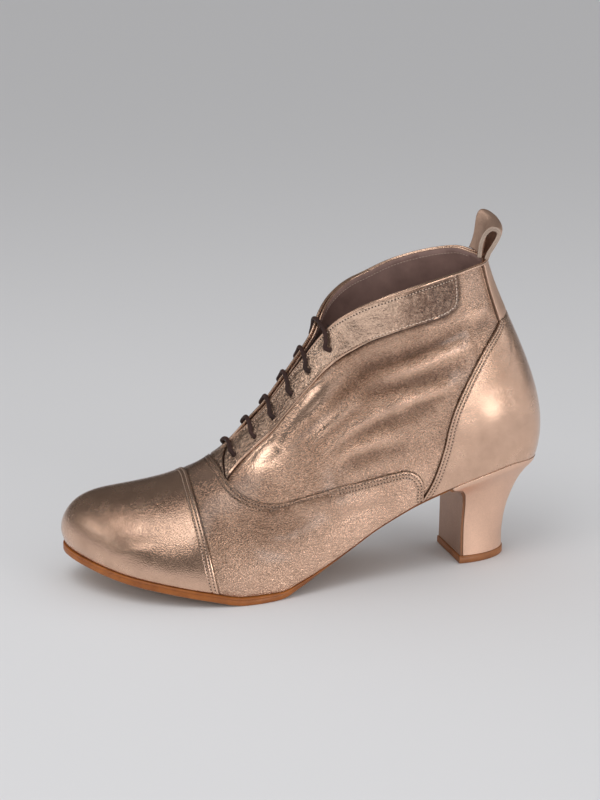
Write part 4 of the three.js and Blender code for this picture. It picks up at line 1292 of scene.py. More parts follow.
# Pull loop
# The strap's end, doubled and folded over the collar's back, with pale cut edges. It leans inwards.
WALL = 1.8
LAYER = 1
STRAP_THICKNESS = 2.4
LOOP_HALF = 8
LOOP_HEIGHT = 16.2
LOOP_DEPTH = 6
LOOP_TWIST = 0.3
LOOP_TURN = 0.2
LOOP_FLAT = 6.4
LOOP_CORNER = 0.55
LOOP_LINE = [
    [0.09, 0.035],
    [-0.075, 0.195],
    [-0.46, 0.42],
    [-0.84, 0.65],
    [-1, 0.81],
    [-0.925, 0.92],
    [-0.61, 0.98],
    [-0.275, 0.98],
    [0.21, 0.865],
    [0.6, 0.66],
    [0.8, 0.39],
    [0.88, 0.1],
]


def curve_through(points, spacing):
    """A centripetal curve through points, as points at an even spacing."""
    points = np.asarray(points, float)
    padded = np.concatenate([[2 * points[0] - points[1]], points, [2 * points[-1] - points[-2]]])
    line = []
    for i in range(1, len(padded) - 2):
        p0, p1, p2, p3 = padded[i - 1 : i + 3]
        d0, d1, d2 = (max(np.linalg.norm(b - a), 1e-9) ** 0.5 for a, b in ((p0, p1), (p1, p2), (p2, p3)))
        m1 = ((p1 - p0) / d0 - (p2 - p0) / (d0 + d1) + (p2 - p1) / d1) * d1
        m2 = ((p2 - p1) / d1 - (p3 - p1) / (d1 + d2) + (p3 - p2) / d2) * d1
        t = np.linspace(0, 1, STEPS_BETWEEN, endpoint=False)[:, None]
        line.append(curve_between(t, 1, p1, p2, m1, m2))
    line.append(points[-1:])
    return evenly(np.concatenate(line), spacing)


def loft(name, rings, material, sharp=180):
    """A closed skin through rings of points, with flat ends."""
    rings = np.asarray(rings)
    count = rings.shape[1]
    faces = []
    for r in range(len(rings) - 1):
        for i in range(count):
            a, b = r * count + i, r * count + (i + 1) % count
            faces.append([a, b, b + count, a + count])
    faces.append(list(range(count))[::-1])
    faces.append(list(range((len(rings) - 1) * count, len(rings) * count)))
    piece = mesh_object(name, rings.reshape(-1, 3), faces, material)
    tidy = bmesh.new()
    tidy.from_mesh(piece.data)
    bmesh.ops.remove_doubles(tidy, verts=tidy.verts, dist=1e-6)
    bmesh.ops.dissolve_degenerate(tidy, edges=tidy.edges, dist=1e-6)
    bmesh.ops.recalc_face_normals(tidy, faces=tidy.faces)
    tidy.to_mesh(piece.data)
    tidy.free()
    if sharp < 180:
        piece.data.set_sharp_from_angle(angle=math.radians(sharp))
    return piece


rim_stations = np.linspace(0.001, 5, 400)
rim_sides = {way: top_point(way * rim_stations) for way in (1, -1)}


def rim_at(y):
    """The collar's edge at a distance across the boot's back."""
    rim = rim_sides[1 if y >= 0 else -1]
    return np.array([np.interp(abs(y), np.abs(rim[:, 1]), rim[:, c]) for c in range(3)])


rim_across = LAYER + WALL + 3 * CLEAR + STRAP_THICKNESS / 2
loop_reach = [(LOOP_DEPTH if x < 0 else rim_across, LOOP_HEIGHT) for x, _ in LOOP_LINE]
loop_middle = curve_through(np.array(LOOP_LINE) * loop_reach, 0.6)
loop_side = []
for angle in (0, 30, 60, 90):
    turn = math.radians(angle)
    inset = LOOP_CORNER * (1 - math.sin(turn))
    loop_side.append((LOOP_HALF - inset, STRAP_THICKNESS / 2 - LOOP_CORNER * (1 - math.cos(turn))))
loop_profile = [(y, STRAP_THICKNESS / 2) for y in np.linspace(-LOOP_FLAT, LOOP_FLAT, 9)]
loop_profile += loop_side + [(LOOP_HALF + 0.05, 0.25), (LOOP_HALF - 0.15, 0), (LOOP_HALF + 0.05, -0.25)]
loop_profile += [(y, -thin) for y, thin in loop_side[::-1]]
loop_profile += [(-y, -thin) for y, thin in loop_profile]
kept_profile = []
for corner in loop_profile:
    if not kept_profile or math.dist(corner, kept_profile[-1]) > 0.05:
        kept_profile.append(corner)
loop_tangent = unit(np.gradient(loop_middle, axis=0))
loop_rings = []
for (x, z), (along_x, along_z) in zip(loop_middle, loop_tangent):
    height = min(max(z / LOOP_HEIGHT, 0), 1)
    ring = []
    for y, thin in kept_profile:
        rim = rim_at(y)
        ring.append(
            (
                rim[0] + LOOP_TURN * (y - LOOP_HALF) * height * (1 - height) * 4 + x - along_z * thin,
                y,
                rim[2] + CLEAR - LOOP_TWIST * (y - LOOP_HALF) * height + z + along_x * thin,
            )
        )
    loop_rings.append(ring)


def matt_finish(
    name, dark, light, rough, cells_per_metre, crinkle, strength, stops=(0.3, 0.75), depth=0.0001
):
    """A plain finish, darker and lighter in soft patches, over a fine grain."""
    material, tree, shader = new_material(name)
    skin = group_node(tree, grain, Cells_per_metre=cells_per_metre, Crinkle=crinkle)
    colour = colour_ramp(tree, skin.outputs["Patch"], [(stops[0], dark), (stops[1], light)])
    tree.links.new(colour, shader.inputs["Base Color"])
    shader.inputs["Roughness"].default_value = rough
    bump_into(tree, shader, skin.outputs["Height"], strength, depth)
    return material


pull_loop = loft("pull_loop", loop_rings, strap_leather)
cut_edge = matt_finish(
    "pale_cut_edge", (0.3, 0.215, 0.165), (0.46, 0.36, 0.29), 0.7, 1800, 0.8, 0.4, stops=(0.25, 0.75)
)
pull_loop.data.materials.append(cut_edge)
for polygon in pull_loop.data.polygons:
    if abs(polygon.center.y) > (LOOP_HALF - 0.4) * MM:
        polygon.material_index = 1
set_tone(pull_loop.data, 0.35)
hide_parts("pull_loop")
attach(pull_loop, "root")

# Rolled edges
# The collar's and the throat's edge: the outer leather and the lining turned in, as two beads with a groove
# between them, and a bead of folded leather along the facing's lower edge.
ROUND_END = (0.15, 0.6, 0.87)


def tube(name, line, radius, material, sides=10, tone=0.9):
    """A round cord along a line, rounded off at its ends."""
    radius = np.broadcast_to(radius, len(line)).astype(float)
    tangent = unit(np.gradient(line, axis=0))
    across = np.cross(tangent[0], (0.3, 0.2, 1.0))
    rings = []
    angles = np.linspace(0, 2 * math.pi, sides, endpoint=False)

    def ring(middle, along_way, sideways, size):
        other = np.cross(along_way, sideways)
        return middle + size * (np.cos(angles)[:, None] * sideways + np.sin(angles)[:, None] * other)

    frames = []
    for i in range(len(line)):
        across = unit(across - tangent[i] * dot(across, tangent[i]))
        frames.append(across)
    for share in ROUND_END:
        tip = line[0] - tangent[0] * radius[0] * math.sqrt(1 - share**2)
        rings.append(ring(tip, tangent[0], frames[0], radius[0] * share))
    for i in range(len(line)):
        rings.append(ring(line[i], tangent[i], frames[i], radius[i]))
    for share in ROUND_END[::-1]:
        tip = line[-1] + tangent[-1] * radius[-1] * math.sqrt(1 - share**2)
        rings.append(ring(tip, tangent[-1], frames[-1], radius[-1] * share))
    piece = loft(name, rings, material)
    set_tone(piece.data, tone)
    return piece


def edge_line(start, end, out, raised, spacing=1.0):
    """A line along the collar's and the throat's edge, from a signed station to another."""
    stations = np.linspace(start, end, 900)
    line = place(stations, 1 + 0 * stations, out)
    line[:, 2] += raised
    return smooth_line(line, spacing, soft=False)


BEAD_ENDS = (10.75, -10.95)
OUTER_BEAD = 0.72
INNER_BEAD = 0.62
BEAD_OUT = -0.55
BEAD_BUMP = 3.05
outer_bead_line = edge_line(*BEAD_ENDS, BEAD_OUT, 0.25)
bump_middle = place(BEAD_BUMP, 1.0, BEAD_OUT)
bump = 0.3 * np.exp(-(np.linalg.norm(outer_bead_line - bump_middle, axis=1) ** 2))
outer_bead = tube("collar_outer_bead", outer_bead_line, OUTER_BEAD + bump, pulled_leather)
inner_bead = tube("collar_inner_bead", edge_line(*BEAD_ENDS, -2.35, 0.1), INNER_BEAD, pulled_leather)
facing_beads = []
for bead_name, side, line in (
    ("outer_facing_bead", 1, beside(RidgeMap, facing_line, 0.6)),
    ("inner_facing_bead", -1, beside(RidgeMap, facing_line_inner, -0.6)),
):
    bead_station, bead_up = RidgeMap.spot(line)
    kept = (np.abs(bead_station) < 11.02) & (np.abs(bead_station) > 3.3)
    bead_station, bead_up = bead_station[kept], bead_up[kept]
    bead_size = 0.56 + 0.16 * smooth_share(np.abs(bead_station), 5.2, 7.0)
    bead_path = place(bead_station, bead_up, -0.75 + bead_size * 0.3)
    # The facing beads take the top tone, a painted highlight along them.
    facing_beads.append(tube(bead_name, bead_path, bead_size, pulled_leather, 12, 1.0))
for piece in (outer_bead, inner_bead, *facing_beads):
    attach(piece, "root")

# Tongue
# A thin dark leather tongue under the throat and the lace's hidden runs.
LACE = 2.2
TONGUE_THICKNESS = 1.6
TONGUE_HALF = 18
LINING_DEPTH = -(LAYER + CLEAR + WALL)
lace_under = LINING_DEPTH - LACE - 4 * CLEAR
TONGUE_FOOT = 12.5
TONGUE_TOP = 7.2
dark_leather = matt_finish(
    "dark_tongue", (0.022, 0.013, 0.012), (0.05, 0.03, 0.027), 0.65, 1200, 0.4, 0.3
)
tongue_rings = []
for station in np.linspace(TONGUE_FOOT, TONGUE_TOP, 46):
    sunk = float(smooth_share(station, TONGUE_FOOT, 11.5))
    depth = (LINING_DEPTH - 3 * CLEAR) * (1 - sunk) + lace_under * sunk
    middle_normal = unit(surface_normal(station, 1.0) + surface_normal(-station, 1.0))
    middle = (top_point(np.float64(station)) + top_point(np.float64(-station))) / 2
    ring = []
    for out, way in ((depth, 1), (depth - TONGUE_THICKNESS, -1)):
        for part in np.linspace(1, -1, 15):
            across = part * way
            if abs(across) < 1e-6:
                ring.append(middle + middle_normal * out)
            else:
                side = math.copysign(station, across)
                ring.append(place(side, below_top(side, abs(across) * TONGUE_HALF), out))
    tongue_rings.append(ring)
tongue = loft("tongue", tongue_rings, dark_leather, 50)
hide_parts("tongue")
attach(tongue, "root")

# Lace
# One round dark cotton cord: straight bars over the throat, slanting runs hidden under the facings. Its far
# end is tucked away beside the inner eyelets.
LACE_BEND = 1.9
LACE_RETURN = 4
LACE_PUFF = 1.15
LACE_PRESS = 0.55
cord_cotton = matt_finish(
    "dark_cord", (0.02, 0.008, 0.006), (0.05, 0.019, 0.014), 0.75, 2600, 0.7, 0.7, depth=0.00018
)
lace_high = CLEAR + LACE_PUFF * LACE / 2
lace_low = LINING_DEPTH - CLEAR - LACE / 2
lace_points = []


def through_eyelet(side, number, toward_bar, toward_run, outward):
    """The lace's way through an eyelet, between the directions in which it leaves outside and inside."""
    station, up = side * EYELETS[number][0], eyelet_ups_by_side[side][number]
    normal = surface_normal(station, up)
    middle = place(station, up, 0.0)
    path = []
    for direction, height, sign in ((toward_bar, lace_high, 1), (toward_run, lace_low, -1)):
        flat_way = unit(direction - normal * dot(direction, normal))
        bend = []
        for angle in (90, 67.5, 45, 22.5, 0):
            turn = math.radians(angle)
            aside = flat_way * LACE_BEND * (1 - math.cos(turn))
            bend.append(middle + aside + normal * (height + sign * LACE_BEND * (math.sin(turn) - 1)))
        path += bend if sign > 0 else bend[::-1]
    return path[::-1] if outward else path


eyelet_ups_by_side = {
    side: [below_top(side * station, inset * EYELET_INSET) for station, inset in EYELETS] for side in (1, -1)
}


def eyelet_middle(side, number):
    return place(side * EYELETS[number][0], eyelet_ups_by_side[side][number], 0.0)


last_eyelet = len(EYELETS) - 1
for row in np.linspace(last_eyelet, 0, 9):
    low_row, high_row = EYELETS[int(math.floor(row))], EYELETS[int(math.ceil(row))]
    between = row - math.floor(row)
    station = low_row[0] + (high_row[0] - low_row[0]) * between
    inset = low_row[1] + (high_row[1] - low_row[1]) * between
    up = below_top(-station, inset * EYELET_INSET + LACE_RETURN)
    lace_points.append(place(-station, up, lace_low - CLEAR))
side = -1
before = lace_points[-1]
for number in range(last_eyelet + 1):
    here, over = eyelet_middle(side, number), eyelet_middle(-side, number)
    lace_points += through_eyelet(side, number, over - here, before - here, True)
    station, half = EYELETS[number][0], EYELETS[number][1] * EYELET_INSET / 2
    for at, distance in ((side, half), (side, 0), (-side, 0), (-side, half)):
        up = below_top(at * station, distance) if distance else 1.0
        lace_points.append(place(at * station, up, lace_high if distance else lace_high - LACE_PRESS))
    if number < last_eyelet:
        after = eyelet_middle(-side, number + 1)
    else:
        after = 2 * over - eyelet_middle(-side, number - 1)
    lace_points += through_eyelet(-side, number, here - over, after - over, False)
    if number < last_eyelet:
        between_station = -side * (EYELETS[number][0] + EYELETS[number + 1][0]) / 2
        ups = eyelet_ups_by_side[-side]
        lace_points.append(place(between_station, (ups[number] + ups[number + 1]) / 2, lace_low))
    before = over
    side = -side
lace = tube("lace", curve_through(lace_points, 0.45), LACE / 2, cord_cotton, 12)
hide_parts("lace")
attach(lace, "root")

# Outsole
# Veg-tanned leather cemented under the upper. Its tan edge, rounded and grooved, shows beyond the upper at
# the forefoot, and as a thin line at the waist, where the sole is bevelled in underneath.
SOLE_EDGE = 1.5
SOLE_ROUND = 0.6
SOLE_EDGE_ROWS = [[3, 0.3], [6.5, 0.35], [8.2, 0.4], [9.4, 0.7], [10.5, 1], [19, 1]]
WAIST_BEVEL = 5.5
BREAST_FLAP = 1.3
BREAST_TOP = 23.6
SOLE_GROOVE = [(0.0, 1, 1.0), (0.16, 1, 1.2), (0.0, 1, 1.4)]
sole_edge = steady_curve([row[0] for row in SOLE_EDGE_ROWS], [row[1] * SOLE_EDGE for row in SOLE_EDGE_ROWS])


def tan_leather(name, dark, light, rough):
    return matt_finish(name, dark, light, rough, 1500, 0.9, 0.3, stops=(0.28, 0.75))


sole_leather = tan_leather("sole_edge_leather", (0.19, 0.048, 0.008), (0.41, 0.13, 0.021), 0.4)
tread_leather = tan_leather("tread_leather", (0.36, 0.2, 0.1), (0.5, 0.3, 0.17), 0.6)


def outline_point(station, out):
    level = np.zeros_like(station)
    return foot_point(station) + surface_normal(station, level) * np.asarray(out)[..., None]


foot_x = foot_point(MAP_STATIONS + 1e-9)[:, 0]
breast_station = float(np.interp(BREAST_TOP + 2 * CLEAR + BREAST_FLAP, foot_x, MAP_STATIONS))
sole_stations = np.concatenate(
    [np.linspace(breast_station, 17.0, 110), np.linspace(17.0, LAST_STATION, 45)[1:]]
)
sole_corner = []
for angle in (0, 22.5, 45, 67.5, 90):
    turn = math.radians(angle)
    sole_corner.append((SOLE_ROUND * (1 - math.sin(turn)), SOLE_ROUND * (1 - math.cos(turn))))
sole_profile = [(inset, 1, depth) for inset, depth in sole_corner]
sole_profile += SOLE_GROOVE + [(inset, 0, height) for inset, height in sole_corner[::-1]]
sole_columns = []
for way in (1, -1):
    side_columns = []
    bevel = WAIST_BEVEL * (1 - smooth_share(sole_stations, 8.0, 10.8))
    for inset, from_top, distance in sole_profile:
        depth_share = distance / WAIST_THICKNESS if from_top else 1 - distance / WAIST_THICKNESS
        points = outline_point(way * sole_stations, sole_edge(sole_stations) - inset - bevel * depth_share)
        if from_top:
            points[:, 2] = foot_height(points[:, 0]) - CLEAR - distance
        else:
            points[:, 2] = underside(points[:, 0]) + distance
        side_columns.append(points)
    sole_columns += side_columns if way > 0 else side_columns[::-1]
outsole = loft("outsole", np.stack(sole_columns, 1), sole_leather, 55)
outsole.data.materials.append(tread_leather)
for polygon in outsole.data.polygons:
    if polygon.normal.z < -0.75:
        polygon.material_index = 1
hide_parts("outsole")
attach(outsole, "root")

# Heel
# A curved block covered in the upper's leather, satin smooth, with a fine bright line where it meets the
# seat.
TOP_LIFT = 4
TOP_LIFT_EDGE = 0.6
TREAD_LENGTH = 27.5
TREAD_WIDTH = 34
HEEL_SIDE = 0.45
HEEL_BACK = 0.62
HEEL_ROWS = [
    [0, -0.545, 0.451, 0.5, 0],
    [0.12, -0.542, 0.451, 0.492, 0],
    [0.3, -0.57, 0.451, 0.486, 0],
    [0.45, -0.63, 0.445, 0.492, 0],
    [0.6, -0.73, 0.44, 0.512, 0],
    [0.75, -0.85, 0.45, 0.56, 0.05],
    [0.87, -0.97, 0.5, 0.65, 0.25],
    [0.95, -1.06, 0.63, 0.77, 0.7],
    [1, -1.15, 0.858, 0.88, 1],
]


def heel_column(c, size):
    return steady_curve([row[0] for row in HEEL_ROWS], [row[c] * size for row in HEEL_ROWS])


heel_back = heel_column(1, TREAD_LENGTH)
heel_breast = heel_column(2, TREAD_LENGTH)
heel_half = heel_column(3, TREAD_WIDTH)
heel_seat = heel_column(4, 1)
heel_foot = TOP_LIFT + CLEAR
seat_station = float(np.interp(BREAST_TOP, foot_x, MAP_STATIONS))


def heel_level(level, x):
    return heel_foot + level * (foot_height(x) - CLEAR - heel_foot)


def heel_outline(level, way, parts, grow=0.0, ahead=0.0):
    """One side's outline at a level, from the breast's corner (0) to the middle of the back (1)."""
    parts = np.asarray(parts, float)
    back = float(heel_back(level)) - grow
    breast = float(heel_breast(level)) + grow + ahead
    half = float(heel_half(level)) + grow
    handles = (
        (breast, half),
        (breast - HEEL_SIDE * (breast - back), half * 1.04),
        (back, half * HEEL_BACK),
        (back, 0),
    )
    t = parts[:, None]
    weights = ((1 - t) ** 3, 3 * t * (1 - t) ** 2, 3 * t * t * (1 - t), t**3)
    block = sum(weight * np.array(handle) for weight, handle in zip(weights, handles)) * (1, way)
    seat = foot_point(way * np.maximum(seat_station * (1 - parts), 1e-9))[:, :2]
    turned = float(heel_seat(level))
    return block + turned * (seat - block)


HEEL_PARTS = np.linspace(0, 1, 25)


def heel_ring(level, height, grow=0.0, ahead=0.0):
    near = heel_outline(level, 1, HEEL_PARTS, grow, ahead)
    far = heel_outline(level, -1, HEEL_PARTS[::-1][1:], grow, ahead)
    breast = far[-1] + (near[0] - far[-1]) * np.linspace(0, 1, 12)[1:-1, None]
    flat = np.concatenate([near, far, breast])
    return np.column_stack([flat, height(flat[:, 0])])


heel_leather = metal_leather(
    "heel_leather", (0.68, 0.42, 0.3), (0.93, 0.62, 0.46), 2000, 0.1, 0.14, 0.42, coat=0.15
)
heel_levels = np.linspace(0, 1, 41)
heel_rings = [heel_ring(level, lambda x, level=level: heel_level(level, x)) for level in heel_levels]
heel = loft("heel", heel_rings, heel_leather, 40)
set_tone(heel.data, 0.75)
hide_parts("heel")
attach(heel, "root")
SEAT_LEVEL = 0.995
SEAT_BEAD = 0.22
seat_parts = np.linspace(0.02, 1, 60)
seat_near = heel_outline(SEAT_LEVEL, 1, seat_parts, 0.1)
seat_far = heel_outline(SEAT_LEVEL, -1, seat_parts[::-1][1:], 0.1)
seat_flat = np.concatenate([seat_near, seat_far])
seat_path = np.column_stack([seat_flat, foot_height(seat_flat[:, 0]) - CLEAR / 2])
seat_bead = tube("seat_line", evenly(seat_path, 1.0), SEAT_BEAD, pulled_leather, 8)
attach(seat_bead, "root")

# Breast flap
# The upper's leather drawn over the heel's breast face and tucked up to the sole, its raw edge left tan.
FLAP_FLARE = 0.35
# The face is coloured and toned darker than the heel, as painted shade under the waist.
shaded_flap_leather = metal_leather(
    "breast_leather_painted_shade", (0.42, 0.26, 0.19), (0.62, 0.41, 0.31), 1600, 0.3, 0.3, 0.5, coat=0.05
)
flap_rings = []
for level in np.linspace(0, 1, 41):
    corner = heel_outline(level, 1, [0.0])[0]
    other = heel_outline(level, -1, [0.0])[0]
    front = CLEAR + BREAST_FLAP + FLAP_FLARE * level**6
    ring = []
    for start, end, out in ((corner, other, front), (other, corner, CLEAR)):
        for part in np.linspace(0, 1, 9):
            point = start + (end - start) * part
            x = point[0] + out
            ring.append((x, point[1], float(heel_level(level, x))))
    flap_rings.append(ring)
breast_flap = loft("breast_flap", flap_rings, shaded_flap_leather, 40)
raw_edge = tan_leather("raw_edge_leather", (0.15, 0.055, 0.022), (0.3, 0.13, 0.055), 0.6)
breast_flap.data.materials.append(raw_edge)
for polygon in breast_flap.data.polygons:
    if abs(polygon.normal.y) > 0.7:
        polygon.material_index = 1
# The low tone adds to the face's painted shade.
set_tone(breast_flap.data, 0.4)
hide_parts("breast_flap")
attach(breast_flap, "root")

# Top lift
# The heel's wearing piece, nailed under the block and a little wider, with a groove round it. It is leather,
# tan like the sole's edge.
LIFT_ROUND = 0.35
LIFT_GROOVE = [(0.9, 0), (0.75, 0.12), (0.6, 0), (0.2, 0), (0, 0.2)]
lift_ahead = CLEAR + BREAST_FLAP
lift_profile = [(0, LIFT_ROUND), (LIFT_ROUND, 0)]
lift_profile += [(TOP_LIFT - below, inset) for below, inset in LIFT_GROOVE]
lift_rings = []
for level, inset in lift_profile:
    lift_rings.append(heel_ring(0, lambda x, level=level: 0 * x + level, TOP_LIFT_EDGE - inset, lift_ahead))
lift_leather = tan_leather("top_lift_leather", (0.2, 0.07, 0.022), (0.4, 0.15, 0.045), 0.45)
top_lift = loft("top_lift", lift_rings, lift_leather, 50)
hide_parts("top_lift")
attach(top_lift, "root")

# Lining
# Smooth taupe kid from the collar down to the insole, and under the toe, cemented to the pieces outside it.
LINING_OUT = -2.9
LINING_INNER = -3.1
TOE_LINING_OUT = -2.3
LINING_FRONT = [[11.4, 0], [11.4, 0.5], [11.1, 0.93], [11.0, 1]]
lining_leather = matt_finish(
    "taupe_lining", (0.165, 0.095, 0.079), (0.26, 0.155, 0.13), 0.62, 1500, 0.25, 0.25
)
lining_end, lining_top = LINING_FRONT[0][0], LINING_FRONT[-1][0]
lining_outline = joined(
    foot_edge(HeelMap, 0.001, lining_end, -1)[::-1],
    foot_edge(HeelMap, 0.001, lining_end, 1),
    seam(HeelMap, LINING_FRONT, 1, 1.6),
    collar_edge(lining_top, -lining_top, 1.4),
    seam(HeelMap, LINING_FRONT, -1, 1.6)[::-1],
)
lining = cut_panel(
    "lining", HeelMap, lining_outline, [], LINING_OUT, LINING_INNER, lining_leather, grid=2.6
)
TOE_LINING = (11.2, LAST_STATION - 0.6)
toe_lining_outline = joined(
    across_ridge([[TOE_LINING[0], up] for up in (0, 0.5, 1)], 2.0),
    foot_edge(RidgeMap, *TOE_LINING, -1, 1.8),
    foot_edge(RidgeMap, *TOE_LINING, 1, 1.8)[::-1],
)
toe_lining = cut_panel(
    "toe_lining", RidgeMap, toe_lining_outline, [], TOE_LINING_OUT, LINING_INNER, lining_leather, grid=3.0
)
for piece in (lining, toe_lining):
    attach(piece, "root")
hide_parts("upper")

# Insole
# A thin board covered in the lining's kid, cemented inside over the sole from the heel seat to the toe.
INSOLE_THICKNESS = 2
insole_stations = np.linspace(0.0, LAST_STATION, 120)
insole_columns = []
for way, height in ((1, INSOLE_THICKNESS), (1, 0), (-1, 0), (-1, INSOLE_THICKNESS)):
    signed = np.where(insole_stations < 1e-6, 1e-6, insole_stations) * way
    points = outline_point(signed, 0 * signed + LINING_DEPTH - CLEAR)
    points[:, 2] = foot_height(points[:, 0]) + height
    insole_columns.append(points)
insole = loft("insole", np.stack(insole_columns, 1), lining_leather, 50)
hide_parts("insole")
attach(insole, "root")

# Stitching
# Rows of short cotton stitches sunk between needle holes, the holes drawn as dark blobs of painted shade,
# laid along each seam by one tree.


def plain_finish(name, colour, rough):
    material, _, shader = new_material(name)
    shader.inputs["Base Color"].default_value = (*colour, 1)
    shader.inputs["Roughness"].default_value = rough
    return material


thread_cotton = plain_finish("rose_thread", (0.72, 0.52, 0.4), 0.55)
pale_cotton = plain_finish("pale_thread", (0.7, 0.54, 0.43), 0.55)
lining_cotton = plain_finish("lining_thread", (0.5, 0.38, 0.31), 0.6)
# Dark blobs in place of the needle holes, as painted shade in them.
needle_hole_shade = plain_finish("needle_hole_painted_shade", (0.05, 0.026, 0.018), 0.8)

stitch_row = bpy.data.node_groups.new("stitch_row", "GeometryNodeTree")
stitch_row.interface.new_socket("Geometry", in_out="INPUT", socket_type="NodeSocketGeometry")
STITCH_INPUTS = (("Pitch", 0.0017), ("Length", 0.001), ("Width", 0.0004), ("Rise", 0.0003), ("Slant", 0.0))
for label, value in STITCH_INPUTS:
    socket = stitch_row.interface.new_socket(label, in_out="INPUT", socket_type="NodeSocketFloat")
    socket.default_value = value
stitch_row.interface.new_socket("Thread", in_out="INPUT", socket_type="NodeSocketMaterial")
stitch_row.interface.new_socket("Geometry", in_out="OUTPUT", socket_type="NodeSocketGeometry")


def tree_node(kind, links=(), **settings):
    node = stitch_row.nodes.new(kind)
    for key, value in settings.items():
        setattr(node, key, value)
    for source, target in links:
        stitch_row.links.new(source, node.inputs[target])
    return node


row_in = tree_node("NodeGroupInput")
row_curve = tree_node("GeometryNodeMeshToCurve", [(row_in.outputs["Geometry"], "Mesh")])
row_points = tree_node(
    "GeometryNodeResampleCurve",
    [(row_curve.outputs["Curve"], "Curve"), (row_in.outputs["Pitch"], "Length")],
    mode="LENGTH",
)
row_tangent = tree_node("GeometryNodeInputTangent")
row_lie = tree_node("GeometryNodeInputNamedAttribute", data_type="FLOAT_VECTOR")
row_lie.inputs["Name"].default_value = "lie"
turn_along = tree_node(
    "FunctionNodeAlignRotationToVector", [(row_tangent.outputs["Tangent"], "Vector")], axis="X"
)
turn_up = tree_node(
    "FunctionNodeAlignRotationToVector",
    [(turn_along.outputs["Rotation"], "Rotation"), (row_lie.outputs["Attribute"], "Vector")],
    axis="Z",
    pivot_axis="X",
)
row_number = tree_node("GeometryNodeInputIndex")
odd = tree_node("ShaderNodeMath", [(row_number.outputs[0], 0)], operation="MODULO")
odd.inputs[1].default_value = 2
centred = tree_node("ShaderNodeMath", [(odd.outputs[0], 0)], operation="SUBTRACT")
centred.inputs[1].default_value = 0.5
slanted = tree_node(
    "ShaderNodeMath", [(centred.outputs[0], 0), (row_in.outputs["Slant"], 1)], operation="MULTIPLY"
)
slant_turn = tree_node("FunctionNodeAxisAngleToRotation", [(slanted.outputs[0], "Angle")])
slant_turn.inputs["Axis"].default_value = (0, 0, 1)
turned_row = tree_node(
    "FunctionNodeRotateRotation",
    [(turn_up.outputs["Rotation"], "Rotation"), (slant_turn.outputs["Rotation"], "Rotate By")],
    rotation_space="LOCAL",
)
thread_shape = tree_node("GeometryNodeMeshUVSphere")
thread_shape.inputs["Segments"].default_value = 8
thread_shape.inputs["Rings"].default_value = 5
thread_shape.inputs["Radius"].default_value = 0.5
thread_size = tree_node(
    "ShaderNodeCombineXYZ",
    [(row_in.outputs["Length"], "X"), (row_in.outputs["Width"], "Y"), (row_in.outputs["Rise"], "Z")],
)
row_laid = tree_node(
    "GeometryNodeInstanceOnPoints",
    [
        (row_points.outputs["Curve"], "Points"),
        (thread_shape.outputs["Mesh"], "Instance"),
        (turned_row.outputs["Rotation"], "Rotation"),
        (thread_size.outputs["Vector"], "Scale"),
    ],
)
row_real = tree_node("GeometryNodeRealizeInstances", [(row_laid.outputs["Instances"], "Geometry")])
row_smooth = tree_node("GeometryNodeSetShadeSmooth", [(row_real.outputs["Geometry"], "Geometry")])
row_coloured = tree_node(
    "GeometryNodeSetMaterial",
    [(row_smooth.outputs["Geometry"], "Geometry"), (row_in.outputs["Thread"], "Material")],
)
tree_node("NodeGroupOutput", [(row_coloured.outputs["Geometry"], "Geometry")])


def lay_row(name, points, normals, material, sizes):
    """A row of stitches or holes along a line, as a plain mesh."""
    mesh = bpy.data.meshes.new(name)
    mesh.from_pydata((points * MM).tolist(), [(i, i + 1) for i in range(len(points) - 1)], [])
    lie = mesh.attributes.new("lie", "FLOAT_VECTOR", "POINT")
    lie.data.foreach_set("vector", np.asarray(normals, np.float32).ravel())
    piece = bpy.data.objects.new(name, mesh)
    bpy.context.collection.objects.link(piece)
    modifier = piece.modifiers.new("row", "NODES")
    modifier.node_group = stitch_row
    values = {**dict(STITCH_INPUTS), **sizes, "Thread": material}
    for item in stitch_row.interface.items_tree:
        if item.in_out == "INPUT" and item.name in values:
            modifier[item.identifier] = values[item.name]
    laid = bpy.data.meshes.new_from_object(piece.evaluated_get(bpy.context.evaluated_depsgraph_get()))
    piece.modifiers.clear()
    piece.data = laid
    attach(piece, "root")
    return piece


def on_panel(flat_map, line, outer, relief, lift):
    """A line on the panel as it is shaped there, and the surface's direction along it."""
    station, up = flat_map.spot(line)
    height = relief(surface(station, up), station, up, line)
    return place(station, up, outer + height + lift), surface_normal(station, up)


THREAD = {"Length": 0.001, "Width": 0.00045}
NEEDLE = {"Length": 0.0009, "Width": 0.0008, "Rise": 0.0004}
SEAM_NEEDLE = {"Length": 0.00095, "Width": 0.00085, "Rise": 0.0004}
BAND_THREAD = {"Pitch": 0.0017, "Length": 0.0015, "Width": 0.0005, "Slant": 0.8}
NEEDLE_SHIFT = 0.85
ABOVE_SOLE = 0.012


def double_row(name, flat_map, line, way, outer, relief):
    """The two rows of stitches beside a seam, with dark blobs of painted shade for the needle holes between
    the stitches.
    """
    for number, distance in enumerate((ROW_ONE, ROW_TWO)):
        row = beside(flat_map, line, way * distance)
        row = row[flat_map.spot(row)[1] > ABOVE_SOLE]
        points, normals = on_panel(flat_map, row, outer, relief, 0.06)
        lay_row(f"{name}_thread_{number}", points, normals, thread_cotton, THREAD)
        holes_at = points + unit(np.gradient(points, axis=0)) * NEEDLE_SHIFT
        lay_row(f"{name}_needle_{number}", holes_at, normals, needle_hole_shade, SEAM_NEEDLE)


double_row("cap_seam", RidgeMap, cap_line, 1, CAP_RISE, cap_relief)
double_row("vamp_seam", RidgeMap, vamp_line, 1, 0.0, vamp_relief)
double_row("counter_seam", HeelMap, counter_line, 1, 0.0, counter_relief)
double_row("counter_seam_inner", HeelMap, counter_inner_line, -1, 0.0, counter_relief)


